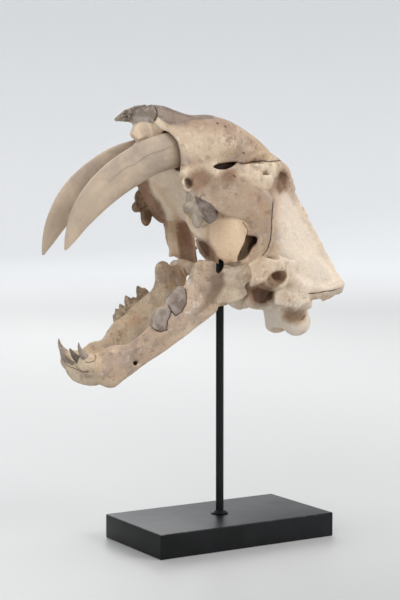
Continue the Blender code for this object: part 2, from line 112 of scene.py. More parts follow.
# Half outlines of the cranium's core, from the palate round to the roof:
# a station along x and its points (y, z)
CORE = (
    (-73.0, ((0, -17), (4, -17), (6, -14), (5, -11), (2, -9), (0, -9))),
    (-66.0, ((0, -12), (11, -12), (16, -3), (15, 5), (8, 9), (0, 10))),
    (-55.0, ((0, -8), (19, -8), (27, 4), (25, 17), (13, 23), (0, 25))),
    (-41.0, ((0, -8), (22, -9), (36, 4), (33, 21), (18, 32), (0, 35))),
    (-28.0, ((0, -8), (26, -8), (43, 8), (38, 31), (22, 43), (0, 47))),
    (-14.0, ((0, -7), (32, -7), (47, 12), (42, 44), (26, 60), (0, 66))),
    (4.0, ((0, -5), (38, -7), (48, 12), (44, 55), (29, 74), (0, 81))),
    (26.0, ((0, -3), (42, -8), (47, 10), (38, 60), (34, 82), (0, 91))),
    (50.0, ((0, -2), (36, -6), (34, 16), (32, 60), (36, 87), (0, 97))),
    (75.0, ((0, 4), (22, -4), (26, 20), (28, 60), (31, 88), (0, 102))),
    (100.0, ((0, 4), (20, 0), (31, 22), (35, 50), (26, 78), (0, 100))),
    (130.0, ((0, 1), (28, -2), (42, 22), (43, 50), (27, 76), (0, 96))),
    (160.0, ((0, 2), (34, 0), (48, 24), (46, 50), (28, 74), (0, 92))),
    (188.0, ((0, 10), (28, 10), (42, 30), (45, 50), (34, 74), (0, 90))),
    (205.0, ((0, 20), (22, 24), (34, 46), (38, 62), (28, 80), (0, 92))),
    (216.0, ((0, 38), (12, 44), (20, 60), (26, 76), (19, 90), (0, 97))),
    (226.0, ((0, 70), (6, 73), (11, 80), (13, 88), (8, 95), (0, 99))),
)
CORE_POINTS = 26

# Balls: centre, radii and the turn about Y in degrees, given on the left
CRANIUM_BALLS = (
    ((7, -47, -7), (8, 6, 8), 0),
    ((38, -50, -12), (25, 8, 9), 0),
    ((124, -72, 5), (17, 15, 9), 10),
    ((140, -60, 6), (15, 15, 14), 0),
    ((142, -47, -12), (14, 12, 13), 0),
    ((145, -53, -27), (5.5, 5.5, 11), 0),
    ((138, -31, -12), (15, 11, 11), 0),
    ((172, -48, 16), (18, 10, 15), 0),
    ((176, -41, 6), (13, 12, 9), 0),
    ((215, -18, 22), (14, 13, 15), 20),
    ((54, -44, 77), (13, 11, 8), 0),
    ((-8, -40, 3), (13, 11, 15), 0),
    ((34, -38, -9), (28, 17, 9), 0),
    ((53, -53, 62), (9, 7, 9), 0),
    ((59, -44, 66), (11, 12, 11), 0),
    ((168, -44, 38), (34, 9, 22), 0),
)
CRANIUM_MID_BALLS = (
    ((196, 0, 16), (20, 22, 9), 10),
    ((150, 0, 4), (34, 26, 9), 4),
)

# Ribbons: a smooth path of (x, y, z, half height) and the thickness as a
# share of the height
CANINE_BULGE = (((-22, -33, 2, 20), (-12, -34, 22, 20), (2, -33, 44, 16), (18, -30, 60, 10)), 0.75)
CHEEK = (((6, -43, 2, 14), (24, -52, 7, 20), (46, -64, 16, 26), (66, -78, 20, 20),
          (86, -87, 11, 13), (101, -85, 1, 10), (119, -77, 0, 10)), 0.30)
SOCKET_RIM = (((19, -51, 4, 10), (28, -59, 19, 10), (36, -65, 34, 10), (46, -65, 52, 9),
               (54, -54, 68, 7)), 0.42)
BEHIND_SOCKET = (((44, -66, 22, 15), (54, -71, 38, 13), (58, -69, 52, 10)), 0.36)
ARCH_ROOT = (((104, -82, -8, 10), (119, -75, -1, 13), (134, -66, 10, 14), (150, -56, 24, 15)), 0.34)
BROW_RIDGE = (((56, -50, 80, 5), (70, -40, 89, 5), (84, -28, 94, 5), (98, -15, 98.5, 5), (116, -4, 100, 4),
               (136, -2, 100, 4)), 0.9)
FAR_ARCH = (((76, 84, 14, 13), (96, 86, 14, 13), (112, 83, 6, 14), (124, 76, 2, 13)), 0.32)
WING = (((44, -24, -10, 16), (66, -21, -6, 19), (88, -23, 0, 17), (112, -28, 4, 12)), 0.32)
EAR_RIDGE = (((132, -64, 14, 6), (156, -57, 22, 7), (180, -52, 36, 6), (196, -48, 54, 5),
              (208, -36, 76, 5), (218, -21, 91, 5), (226, -6, 98, 5)), 0.7)
CRANIUM_RIBBONS = (CANINE_BULGE, CHEEK, SOCKET_RIM, BEHIND_SOCKET, ARCH_ROOT, BROW_RIDGE, EAR_RIDGE)
TIP = (((-74, 3, -17, 4), (-66, 4, -12, 7), (-54, 4, -4, 9)), 0.8)

# Plaster walls inside the cheeks, the broken knob behind the near sabre, the
# filler under the brow and the loop of bone beside the knob
CHEEK_WALLS = (((78, -25, -4), (34, 8, 24), 20), ((74, 24, 14), (30, 8, 16), 20))
KNOB = ((1.2, -50, -12.5), (4.4, 5, 5.6), 30)
BROW_FILL = ((52.5, -57, 60), (9, 8.5, 9), 0)
LOOP = tuple((11.5 + 6.5 * math.cos(turn), -51.5, -15.0 + 7 * math.sin(turn), 1.9)
             for turn in (0, 0.8, 1.6, 2.4, 3.2, 4.0, 4.8, 5.6, 6.28)), 1.0
CREST = ((66, 96), (80, 102), (94, 105), (122, 103.5), (151, 105.5), (180, 104.5), (216, 102.5),
         (230, 101), (236, 97), (232, 90), (214, 72), (190, 80), (150, 84), (110, 84), (80, 88))
CREST_HALF = 2.4

# Hollows of the cranium on both sides: centre, radii, turn
CRANIUM_HOLLOWS = (
    # eye socket
    ((30, -50, 48), (14, 10, 25), 30),
    # ear opening
    ((139, -78, 8), (8, 24, 7), 0),
    # hollow under the ear
    ((151, -66, -12), (10, 13, 9), 0),
    # socket for the jaw's roller
    ((117, -66, -17), (12, 25, 12), 0),
)
NASAL_HOLLOWS = (
    ((-53, 0, 21), (20, 15, 10), -50),
    ((-26, 0, 30), (34, 14, 13), -48),
    ((98, 0, -5), (34, 14, 12), 0),
)

# Jaw, left half
JAW_BODY = (((-168, -17, -6, 12), (-150, -20, -13, 18), (-128, -26, -15, 13), (-106, -33, -13, 13),
             (-84, -38, -10, 13), (-62, -42, -5, 15), (-44, -45, -1, 16)), 0.46)
JAW_BRANCH = (((-60, -41, 2, 15), (-42, -42, 8, 20), (-24, -48, 4, 18), (-8, -57, 1, 13)), 0.26)
JAW_CORONOID = (((-50, -41, 4, 10), (-41, -39.5, 16, 11), (-33, -38.5, 25, 10),
                 (-27.5, -38, 30, 6)), 0.42)
JAW_NECK = (((-18, -53, 2, 8), (-6, -60, 4, 8), (0, -62, 5, 7)), 0.7)
JAW_ANGLE = (((-30, -50, -8, 7), (-18, -55, -12, 5), (-9, -57, -13, 3)), 0.7)
JAW_RIBBONS = (JAW_BODY, JAW_BRANCH, JAW_CORONOID, JAW_NECK, JAW_ANGLE)
GUM_RIDGE = (((-130, -28, -11, 8), (-112, -34, -4.5, 8), (-98, -37, -2, 8), (-80, -39.5, -1, 8),
              (-62, -42, 3, 8)), 0.75)
# Filler that holds the near cheek teeth
NEAR_FILLS = (((-104, -38.5, 2, 6), (-93, -39.5, 3, 7), (-80, -40.5, 6, 9), (-68, -41, 10, 9)), 0.6)
JAW_ROLLER = (((0, -44, 4, 6.5), (0, -60, 5, 8), (0, -77, 6, 6)), 1.0)
CHIN = (((-184, 0, 2, 6), (-176, 0, -6, 13), (-166, 0, -13, 15), (-154, 0, -15, 13),
         (-142, 0, -15, 8)), 1.35)
JAW_BALLS = (
    ((-175, -18, 2), (10, 8, 10), 0),
    ((-160, -18, -22), (11, 7, 11), 0),
    ((-84, -38, -4), (27, 8, 8), -6),
)
JAW_HOLLOWS = (
    ((-40, -60, 2), (26, 13, 11), 20),
)

# Sabres: path of (x, y, z, half width) and the thickness share
SABRE = (((0, -33, 34, 13), (-8, -33.5, 20, 16), (-18.5, -34, 0, 17.6), (-27.5, -32.5, -25, 17.6),
          (-31, -31, -49, 17.4), (-31.7, -29, -72, 16.6), (-29.3, -27, -94, 14.8),
          (-23, -24.5, -116, 11.2), (-14.5, -23, -134, 6.4), (-7.4, -22, -146.5, 1.2)), 0.56)
RIGHT_SABRE_SLIP = (3.5, 0.0, -5.5)
SABRE_GAP = 3.0
SOCKET_SHIFT = 1.6

# Relief of the bones, and how many pixels from a crack its mark ends
CRACK_REACH = 6.0
CRACK_DEPTH = 0.5
UNEVEN = 0.4
RIB_STRETCH = np.array((0.22, 1.0, 1.0))

# Soft patches by place: centre, radius and softness
PLASTER_BALLS = (((-48, 0, -6), 22, 6), ((20, 0, -4), 26, 8))
POROUS_BALLS = (((-70, 0, -8), 12, 6), ((178, -48, 16), 16, 8), ((178, 48, 16), 16, 8), ((236, 0, 94), 8, 8))
JAW_POROUS_BALLS = (((-182, 0, 2), 9, 5), ((-2, -62, 6), 8, 5))

# Outer rim of the sabre sockets, as (x, z) from front to back
SOCKET_LINE = ((-60.0, -1.0), (-40.0, 0.5), (-28.0, 0.5), (-16.0, -4.0), (-6.0, -8.6), (4.0, -14.0))


def clear_default_objects():
    """Take away what a new Blender file starts with."""
    kept = set(frame["nodes"].values()) | set(frame["bodies"].values())
    for thing in list(bpy.data.objects):
        if thing not in kept:
            bpy.data.objects.remove(thing, do_unlink=True)


# Frames and the photograph

class LocalFrame:
    """A bone's own frame: origin and pitch, in millimetres."""

    def __init__(self, origin, pitch):
        angle = math.radians(pitch)
        self.origin = np.array(origin, float)
        self.turn = np.array(((math.cos(angle), 0, math.sin(angle)),
                              (0, 1, 0),
                              (-math.sin(angle), 0, math.cos(angle))))

    def to_world(self, points):
        return (points @ self.turn.T + self.origin) * MM


SKULL = LocalFrame(CRANIUM_ORIGIN, CRANIUM_PITCH)
JAW = LocalFrame(JAW_ORIGIN, JAW_PITCH)

AZIMUTH = math.radians(CAMERA_AZIMUTH)
ELEVATION = math.radians(CAMERA_ELEVATION)
VIEW_RIGHT = np.array((math.cos(AZIMUTH), math.sin(AZIMUTH), 0.0))
VIEW_BACK = np.array((math.sin(AZIMUTH) * math.cos(ELEVATION),
                      -math.cos(AZIMUTH) * math.cos(ELEVATION), math.sin(ELEVATION)))
VIEW_UP = np.cross(VIEW_BACK, VIEW_RIGHT)
FOCAL = LENS / SENSOR * IMAGE_SIZE[1]


def pixels_of(world):
    """Where points in metres lie in the photograph."""
    arm = world - CAMERA_PLACE
    depth = -(arm @ VIEW_BACK)
    across = IMAGE_SIZE[0] / 2 + FOCAL * (arm @ VIEW_RIGHT) / depth
    down = IMAGE_SIZE[1] / 2 - FOCAL * (arm @ VIEW_UP) / depth
    return across, down


def outline_distance(outline, u, v):
    """Signed distance to a closed outline, negative inside."""
    knots = np.array(outline, float)
    best = np.full(np.shape(u), 1e9)
    inside = np.zeros(np.shape(u), bool)
    for (au, av), (bu, bv) in zip(knots, np.roll(knots, -1, 0)):
        du, dv = bu - au, bv - av
        share = np.clip(((u - au) * du + (v - av) * dv) / (du * du + dv * dv + 1e-12), 0, 1)
        best = np.minimum(best, (u - au - share * du) ** 2 + (v - av - share * dv) ** 2)
        if av != bv:
            crossing = ((av > v) != (bv > v)) & (u < au + (v - av) * du / dv)
            inside ^= crossing
    return np.sqrt(best) * np.where(inside, -1.0, 1.0)


def line_distance(line, u, v):
    """Distance to an open line, and which side of it a place is on."""
    best = np.full(np.shape(u), 1e9)
    side = np.ones(np.shape(u))
    for (au, av), (bu, bv) in zip(line, line[1:]):
        du, dv = bu - au, bv - av
        share = np.clip(((u - au) * du + (v - av) * dv) / (du * du + dv * dv + 1e-12), 0, 1)
        away = (u - au - share * du) ** 2 + (v - av - share * dv) ** 2
        side = np.where(away < best, np.sign(du * (v - av) - dv * (u - au)), side)
        best = np.minimum(best, away)
    return np.sqrt(best), side


def smoothstep(low, high, value):
    share = np.clip((value - low) / (high - low), 0.0, 1.0)
    return share * share * (3 - 2 * share)


# Noise

class Noise:
    """Smooth repeating noise from a seeded lattice, between -1 and 1."""

    def __init__(self, seed, size=32):
        self.size = size
        self.lattice = np.random.default_rng(seed).uniform(-1, 1, (size, size, size)).astype(np.float32)

    def at(self, points, scale):
        place = np.asarray(points) / scale
        cell = np.floor(place).astype(int)
        part = place - cell
        part = part * part * (3 - 2 * part)
        total = 0.0
        for corner in range(8):
            offset = np.array((corner & 1, corner >> 1 & 1, corner >> 2 & 1))
            index = (cell + offset) % self.size
            weight = np.prod(np.where(offset, part, 1 - part), axis=-1)
            total = total + weight * self.lattice[index[..., 0], index[..., 1], index[..., 2]]
        return total

    def layers(self, points, scale, count=3):
        total = 0.0
        for layer in range(count):
            total = total + self.at(np.asarray(points) + 17.3 * layer, scale / 2 ** layer) / 2 ** layer
        return total


# Distance fields

def spline(points, spacing):
    """Points on a smooth curve through the given rows, evenly close."""
    rows = np.array(points, float)
    ends = np.vstack((2 * rows[0] - rows[1], rows, 2 * rows[-1] - rows[-2]))
    made = []
    for i in range(1, len(ends) - 2):
        a, b, c, d = ends[i - 1:i + 3]
        steps = max(2, int(np.linalg.norm((c - b)[:3]) / spacing))
        t = (np.arange(steps) / steps)[:, None]
        made.append(0.5 * (2 * b + (c - a) * t + (2 * a - 5 * b + 4 * c - d) * t ** 2
                           + (3 * b - a - 3 * c + d) * t ** 3))
    made.append(rows[-1:])
    return np.vstack(made)


def smooth_least(a, b, blend):
    """The lesser of two distances, rounded where they meet."""
    overlap = np.maximum(blend - np.abs(a - b), 0.0) / blend
    return np.minimum(a, b) - overlap * overlap * blend / 4


class Field:
    """Signed distances on a regular grid, negative inside."""

    def __init__(self, low, high, step):
        self.low = np.array(low, float)
        self.step = step
        self.count = np.ceil((np.array(high, float) - self.low) / step).astype(int) + 1
        self.values = np.full(self.count, FAR, np.float32)

    def axis(self, which, start=0, stop=None):
        return self.low[which] + self.step * np.arange(self.count[which])[start:stop]

    def window(self, low, high):
        first = np.clip(np.floor((np.array(low) - self.low) / self.step).astype(int), 0, self.count)
        last = np.clip(np.ceil((np.array(high) - self.low) / self.step).astype(int) + 1, 0, self.count)
        part = tuple(slice(a, b) for a, b in zip(first, last))
        axes = [self.axis(i, first[i], last[i]) for i in range(3)]
        return part, np.meshgrid(*axes, indexing="ij", sparse=True)

    def join(self, low, high, distance, blend):
        margin = blend + 3 * self.step
        part, place = self.window(np.array(low) - margin, np.array(high) + margin)
        if self.values[part].size:
            self.values[part] = smooth_least(self.values[part], distance(*place), blend)

    def carve(self, low, high, distance, blend):
        margin = blend + 3 * self.step
        part, place = self.window(np.array(low) - margin, np.array(high) + margin)
        if self.values[part].size:
            self.values[part] = -smooth_least(-self.values[part], distance(*place), blend)

    def sample(self, points):
        """Distances at points, between the grid's own."""
        place = np.clip((points - self.low) / self.step, 0, self.count - 1.001)
        cell = place.astype(int)
        part = place - cell
        total = 0.0
        for corner in range(8):
            offset = np.array((corner & 1, corner >> 1 & 1, corner >> 2 & 1))
            weight = np.prod(np.where(offset, part, 1 - part), axis=1)
            index = cell + offset
            total = total + weight * self.values[index[:, 0], index[:, 1], index[:, 2]]
        return total

    def slope(self, points):
        reach = 0.6 * self.step
        rises = [self.sample(points + reach * way) - self.sample(points - reach * way) for way in np.eye(3)]
        return np.stack(rises, axis=1) / (2 * reach)


def ellipsoid(centre, radii, turn=0.0):
    """Low corner, high corner and distance of an ellipsoid turned about y."""
    centre = np.array(centre, float)
    radii = np.array(radii, float)
    angle = math.radians(turn)
    cosine, sine = math.cos(angle), math.sin(angle)
    reach = np.array((math.hypot(radii[0] * cosine, radii[2] * sine), radii[1],
                      math.hypot(radii[0] * sine, radii[2] * cosine)))

    def distance(x, y, z):
        dx, dy, dz = x - centre[0], y - centre[1], z - centre[2]
        px = cosine * dx - sine * dz
        pz = sine * dx + cosine * dz
        scaled = np.sqrt((px / radii[0]) ** 2 + (dy / radii[1]) ** 2 + (pz / radii[2]) ** 2)
        steep = np.sqrt((px / radii[0] ** 2) ** 2 + (dy / radii[1] ** 2) ** 2 + (pz / radii[2] ** 2) ** 2)
        return scaled * (scaled - 1) / np.maximum(steep, 1e-6)

    return centre - reach, centre + reach, distance


def ribbon(points, share, grow=0.0, spacing=3.0, hanging=False):
    """Low corner, high corner and distance of a flattened sweep.

    The long side of its section stands up, or with hanging keeps to the
    xz plane across the path.
    """
    rows = spline(points, spacing)
    centres, half = rows[:, :3], rows[:, 3] + grow
    thick = rows[:, 3] * share + grow
    widest = max(half.max(), thick.max())

    def distance(x, y, z):
        shape = np.broadcast_shapes(np.shape(x), np.shape(y), np.shape(z))
        best = np.full(shape, FAR)
        for i in range(len(rows) - 1):
            a, b = centres[i], centres[i + 1]
            along = b - a
            length = np.linalg.norm(along)
            along = along / length
            side = np.array((0.0, 1.0, 0.0)) if hanging else np.cross(along, (0.0, 0.0, 1.0))
            side = side - along * (side @ along)
            side = side / max(np.linalg.norm(side), 1e-6)
            rise = np.cross(side, along)
            dx, dy, dz = x - a[0], y - a[1], z - a[2]
            run = dx * along[0] + dy * along[1] + dz * along[2]
            share_along = np.clip(run / length, 0, 1)
            high = half[i] + (half[i + 1] - half[i]) * share_along
            wide = thick[i] + (thick[i + 1] - thick[i]) * share_along
            over = run - share_along * length
            up = dx * rise[0] + dy * rise[1] + dz * rise[2]
            out = dx * side[0] + dy * side[1] + dz * side[2]
            small = np.minimum(high, wide)
            scaled = np.sqrt((up / high) ** 2 + (out / wide) ** 2 + (over / small) ** 2)
            steep = np.sqrt((up / high ** 2) ** 2 + (out / wide ** 2) ** 2 + (over / small ** 2) ** 2)
            best = np.minimum(best, scaled * (scaled - 1) / np.maximum(steep, 1e-6))
        return best

    return centres.min(0) - widest, centres.max(0) + widest, distance


def plate(outline, y, half):
    """Low corner, high corner and distance of an outline in xz with a thickness."""
    knots = np.array(outline, float)
    low = np.array((knots[:, 0].min(), y - half, knots[:, 1].min()))
    high = np.array((knots[:, 0].max(), y + half, knots[:, 1].max()))

    def distance(x, y_, z):
        flat = outline_distance(outline, *np.broadcast_arrays(x, z))
        return np.maximum(flat, np.abs(y_ - y) - half)

    return low, high, distance


def mirrored(points):
    return tuple((row[0], -row[1], *row[2:]) for row in points)


def smooth_half(points, count):
    """Evenly spaced points on a smooth line through a half outline."""
    knots = np.array(points, float)
    ends = np.vstack(((-knots[1][0], knots[1][1]), knots, (-knots[-2][0], knots[-2][1])))
    dense = []
    for i in range(1, len(ends) - 2):
        a, b, c, d = ends[i - 1:i + 3]
        t = (np.arange(12) / 12)[:, None]
        dense.append(0.5 * (2 * b + (c - a) * t + (2 * a - 5 * b + 4 * c - d) * t ** 2
                            + (3 * b - a - 3 * c + d) * t ** 3))
    dense = np.vstack((*dense, knots[-1:]))
    run = np.concatenate(((0,), np.cumsum(np.linalg.norm(np.diff(dense, axis=0), axis=1))))
    want = np.linspace(0, run[-1], count)
    return np.stack((np.interp(want, run, dense[:, 0]), np.interp(want, run, dense[:, 1])), axis=1)


def station_outline(x):
    """The core's half outline at any x, smooth between the stations."""
    stations = [s for s, _ in CORE]
    outlines = station_outline.made
    i = int(np.clip(np.searchsorted(stations, x) - 1, 0, len(stations) - 2))
    slopes = []
    for j in (i, i + 1):
        before, after = max(j - 1, 0), min(j + 1, len(stations) - 1)
        slopes.append((outlines[after] - outlines[before]) / (stations[after] - stations[before]))
    gap = stations[i + 1] - stations[i]
    t = float(np.clip((x - stations[i]) / gap, 0, 1))
    return ((2 * t ** 3 - 3 * t ** 2 + 1) * outlines[i] + (t ** 3 - 2 * t ** 2 + t) * gap * slopes[0]
            + (3 * t ** 2 - 2 * t ** 3) * outlines[i + 1] + (t ** 3 - t ** 2) * gap * slopes[1])


station_outline.made = [smooth_half(outline, CORE_POINTS) for _, outline in CORE]


def fill_core(field):
    """Put the lofted core of the cranium into an empty field."""
    y, z = np.meshgrid(field.axis(1), field.axis(2), indexing="ij")
    right = field.axis(1) >= -1e-6
    for index, x in enumerate(field.axis(0)):
        inner = float(np.clip(x, CORE[0][0], CORE[-1][0]))
        if abs(x - inner) > 12:
            continue
        half = station_outline(inner)
        # The half outline closes far beyond the middle plane, so that the
        # plane itself is no edge.
        closed = np.vstack((half, (-FAR, half[-1][1]), (-FAR, half[0][1])))
        flat = outline_distance(closed, y[right], z[right])
        past = abs(x - inner)
        if past > 0:
            flat = np.sqrt(np.maximum(flat, 0) ** 2 + past ** 2)
        field.values[index, right] = flat
        field.values[index, ~right] = flat[::-1][:np.count_nonzero(~right)]
    steep = np.sqrt(sum(g ** 2 for g in np.gradient(field.values, field.step)))
    field.values /= np.clip(steep, 1.0, 3.0)


# Meshing

EDGES = [(a, b) for a in range(8) for b in range(8) if a < b and bin(a ^ b).count("1") == 1]


def surface(field):
    """Points and quads of the field's zero surface."""
    inside = field.values < 0
    cells = tuple(n - 1 for n in field.count)
    corners = [np.array((c & 1, c >> 1 & 1, c >> 2 & 1)) for c in range(8)]

    def at(array, corner):
        i, j, k = corners[corner]
        return array[i:i + cells[0], j:j + cells[1], k:k + cells[2]]

    total = sum(at(inside, c).astype(np.int8) for c in range(8))
    active = (total > 0) & (total < 8)
    where = np.argwhere(active)
    index = np.full(cells, -1, np.int64)
    index[active] = np.arange(len(where))
    sums = np.zeros((len(where), 3))
    counts = np.zeros(len(where))
    for a, b in EDGES:
        va = at(field.values, a)[active].astype(float)
        vb = at(field.values, b)[active].astype(float)
        cross = (va < 0) != (vb < 0)
        share = np.where(cross, va / np.where(cross, va - vb, 1), 0)
        spot = corners[a] + share[:, None] * (corners[b] - corners[a])
        sums += np.where(cross[:, None], spot, 0)
        counts += cross
    points = field.low + field.step * (where + sums / counts[:, None])
    quads = []
    for way in range(3):
        one, two = [(1, 2), (2, 0), (0, 1)][way]
        start = [slice(None)] * 3
        stop = [slice(None)] * 3
        start[way] = slice(0, -1)
        stop[way] = slice(1, None)
        first = inside[tuple(start)]
        second = inside[tuple(stop)]
        place = np.argwhere(first != second)
        place = place[(place[:, one] > 0) & (place[:, two] > 0)
                      & (place[:, one] < cells[one]) & (place[:, two] < cells[two])]
        turn = []
        for shift_one, shift_two in ((1, 1), (0, 1), (0, 0), (1, 0)):
            cell = place.copy()
            cell[:, one] -= shift_one
            cell[:, two] -= shift_two
            turn.append(index[tuple(cell.T)])
        quad = np.stack(turn, axis=1)
        outward = first[tuple(place.T)]
        quads.append(np.where(outward[:, None], quad, quad[:, ::-1]))
    quads = np.vstack(quads)
    return points, quads[(quads >= 0).all(1)]


def settle(field, points, rounds=3):
    """Move points onto the zero surface."""
    for _ in range(rounds):
        slope = field.slope(points)
        steep = np.maximum((slope ** 2).sum(1), 0.05)
        move = field.sample(points) / steep
        points = points - np.clip(move, -field.step, field.step)[:, None] * slope
    return points


def relax(points, quads, rounds, strength=0.5):
    """Even out the spacing of a mesh's points."""
    ends = np.vstack((quads[:, (0, 1)], quads[:, (1, 2)], quads[:, (2, 3)], quads[:, (3, 0)]))
    degree = np.bincount(ends.ravel(), minlength=len(points))[:, None]
    for _ in range(rounds):
        total = np.zeros_like(points)
        for way in range(3):
            total[:, way] = (np.bincount(ends[:, 0], points[ends[:, 1], way], len(points))
                             + np.bincount(ends[:, 1], points[ends[:, 0], way], len(points)))
        points = points + strength * (total / degree - points)
    return points


def largest_part(points, quads):
    """Only the biggest connected piece."""
    label = np.arange(len(points))
    ends = np.vstack((quads[:, (0, 1)], quads[:, (1, 2)], quads[:, (2, 3)]))
    while True:
        low = np.minimum(label[ends[:, 0]], label[ends[:, 1]])
        new = label.copy()
        np.minimum.at(new, ends[:, 0], low)
        np.minimum.at(new, ends[:, 1], low)
        new = new[new]
        if (new == label).all():
            break
        label = new
    biggest = np.bincount(label).argmax()
    kept = label == biggest
    number = np.cumsum(kept) - 1
    return points[kept], number[quads[kept[quads[:, 0]]]]


def normals_of(points, quads):
    """Point normals from the faces round them."""
    across = np.cross(points[quads[:, 2]] - points[quads[:, 0]], points[quads[:, 3]] - points[quads[:, 1]])
    total = np.zeros_like(points)
    for way in range(3):
        total[:, way] = sum(np.bincount(quads[:, c], across[:, way], len(points)) for c in range(4))
    return total / np.maximum(np.linalg.norm(total, axis=1), 1e-9)[:, None]


def skin(field, rounds):
    """Points, quads and point normals of a field's biggest surface."""
    points, quads = largest_part(*surface(field))
    points = settle(field, relax(points, quads, rounds))
    return points, quads, normals_of(points, quads)


def put(name, data):
    """A new object in the scene."""
    thing = bpy.data.objects.new(name, data)
    bpy.context.scene.collection.objects.link(thing)
    return thing


def add_mesh(name, points, quads, masks=None):
    """A mesh object from points in metres, with its masks as attributes."""
    mesh = bpy.data.meshes.new(name)
    mesh.vertices.add(len(points))
    mesh.vertices.foreach_set("co", points.astype(np.float32).ravel())
    mesh.loops.add(quads.size)
    mesh.loops.foreach_set("vertex_index", quads.astype(np.int32).ravel())
    mesh.polygons.add(len(quads))
    mesh.polygons.foreach_set("loop_start", np.arange(0, quads.size, quads.shape[1], dtype=np.int32))
    mesh.update(calc_edges=True)
    mesh.validate()
    mesh.shade_smooth()
    for word, values in (masks or {}).items():
        attribute = mesh.attributes.new(word, "FLOAT", "POINT")
        attribute.data.foreach_set("value", np.asarray(values, np.float32))
    return put(name, mesh)


# Marks that the photograph places, as outlines in its pixels

EYE_SLIT = ((211.5, 167), (217, 164.5), (226, 162.4), (237.5, 161.6), (234, 165.5), (226, 169.6),
            (219, 169.8))
TEMPLE_HOLE = ((281, 171), (285.4, 173), (287, 181), (284, 190), (279, 194.5), (275.5, 188), (278, 179))
CONDYLE_STAIN = ((283, 310), (292, 309), (304, 311), (304, 319), (297, 322), (289, 323), (283, 318))
CONDYLE_OPENINGS = (((284, 309.5), (287.5, 308.5), (291.5, 311), (293.5, 315), (292, 319.5), (288.5, 320.5),
                     (285.5, 317), (283.5, 313)),
                    ((296, 313), (299, 310.8), (303, 311.5), (304.5, 315), (302.5, 319), (298.5, 320.5),
                     (295.5, 317.5)))
ROD_NOTCH = ((212, 257), (216, 257.6), (222, 259.6), (224.6, 264), (223, 273), (210, 276))
BEFORE_CONDYLE = ((226, 311.5), (239.5, 311.5), (242, 315), (249, 315), (251.5, 309.5), (263.5, 309.5),
                  (264.6, 318), (265.2, 329), (269, 336), (262, 346), (222, 346))
MASTOID_BLOCK = ((273.5, 288.5), (286, 287.5), (300, 288.5), (309, 291), (309, 303), (297, 306.5),
                 (285, 306), (273.5, 305))
MUZZLE_CHAR = ((116, 121), (117, 115), (124, 107), (138, 101), (154, 101), (155, 106), (142, 109.5),
               (134, 113), (133, 119), (128, 123), (121, 122))
MUZZLE_TOP = ((154, 99), (172, 102), (200, 112), (214, 112), (214, 118), (196, 118), (176, 113), (154, 107))
LOOP_HOLE = ((184, 179.6), (186.2, 177.4), (189.6, 177.8), (192.4, 181), (193, 185.4), (190.4, 188),
             (187, 186.8), (184.4, 183.6))
# Places painted nearly black as painted shade: the loop's hole and two deep hollows
PAINTED_DARK_PLACES = (
    LOOP_HOLE,
    ((196, 239), (203, 239.5), (211, 246), (216.5, 255), (218, 264), (208, 261), (200, 254)),
    ((250, 290), (257, 286), (266, 289), (274, 291), (273, 299), (266, 304), (254, 303)),
)
WEDGE = ((135.5, 125), (146, 126), (150, 131), (145, 138), (137.6, 140.4), (133.4, 136.4), (131.6, 133.6))
BLOCK_PORES = ((290, 294), (305, 294), (305, 305.5), (291, 305.5))
FAR_GAP = ((195, 240.5), (199.5, 253), (206.5, 261.5), (216, 263), (206, 268), (198.5, 266), (196.5, 255))
ROOT_SKIRT = ((247.5, 264), (250, 270), (251.4, 277), (249, 284), (250, 288), (258, 284.5), (268, 280),
              (285, 270), (285, 262), (266, 258), (254, 260))
BROWN_SLAB = ((195.5, 239.5), (203, 239), (208.5, 241.5), (213.5, 249), (218, 257), (219, 264), (208, 260.5),
              (201, 254), (196.5, 246))
CHEEK_HOLE = ((224, 217.5), (234, 218), (243, 222), (247, 224), (252, 230), (257, 238), (256, 243),
              (251, 248), (249, 258), (243, 265), (225, 266), (214.8, 258), (210.8, 245),
              (208.6, 236), (209.5, 227), (213, 221))
DEEP_HOLE = ((246, 234.7), (250, 235.8), (254, 236), (257.7, 237.6), (257, 242.5), (251, 248.6),
             (248.4, 255), (244, 259), (237, 261), (237.4, 257), (241, 250), (244.5, 243))
EAR_HOLE = ((267, 283.5), (266.6, 280.5), (268.3, 276.8), (271.6, 273.6), (276, 271.4), (280.6, 271),
            (284, 272.6), (285.4, 275.6), (284.2, 279.6), (281, 283.2), (276.4, 286), (271, 286.4))
EAR_FLOOR = ((262, 289), (260, 278), (268, 268), (282, 265), (291, 272), (288, 284), (278, 292), (266, 292))
CHEEK_PIT = ((216.5, 214.5), (220, 212.3), (223.5, 217), (219, 218))
# Air round the muzzle's tip and behind the edge of the near arch
BEFORE_MUZZLE = ((90, 90), (148, 92), (148.5, 103.2), (143.6, 104.8), (137.6, 105.6), (132.7, 107),
                 (128, 109.6), (124.4, 110.4), (118.3, 116), (113.8, 119.6), (115, 121.2), (120.7, 121),
                 (128, 121.4), (133.2, 123.4), (134.6, 127), (131, 134.8), (138.6, 141.6), (120, 150),
                 (90, 140))
UNDER_WING = ((186, 264), (186, 232), (190.5, 231), (199, 237.5), (208, 244), (213, 250.5), (216.5, 257),
              (217, 266), (200, 270))
BEHIND_OCCIPUT = ((311.6, 299.5), (321, 298.6), (323, 303.4), (330, 303.8), (334, 296.5), (342.6, 292.4),
                  (344.6, 284), (343.6, 281.4), (339.4, 275), (331, 258), (340, 240), (372, 280), (372, 340),
                  (313, 340))
BEHIND_ARCH = ((276, 190), (275, 199), (274.6, 206), (274.4, 218), (273.8, 230), (272.6, 240), (268.5, 253),
               (264, 257), (270, 262), (300, 262), (300, 190))

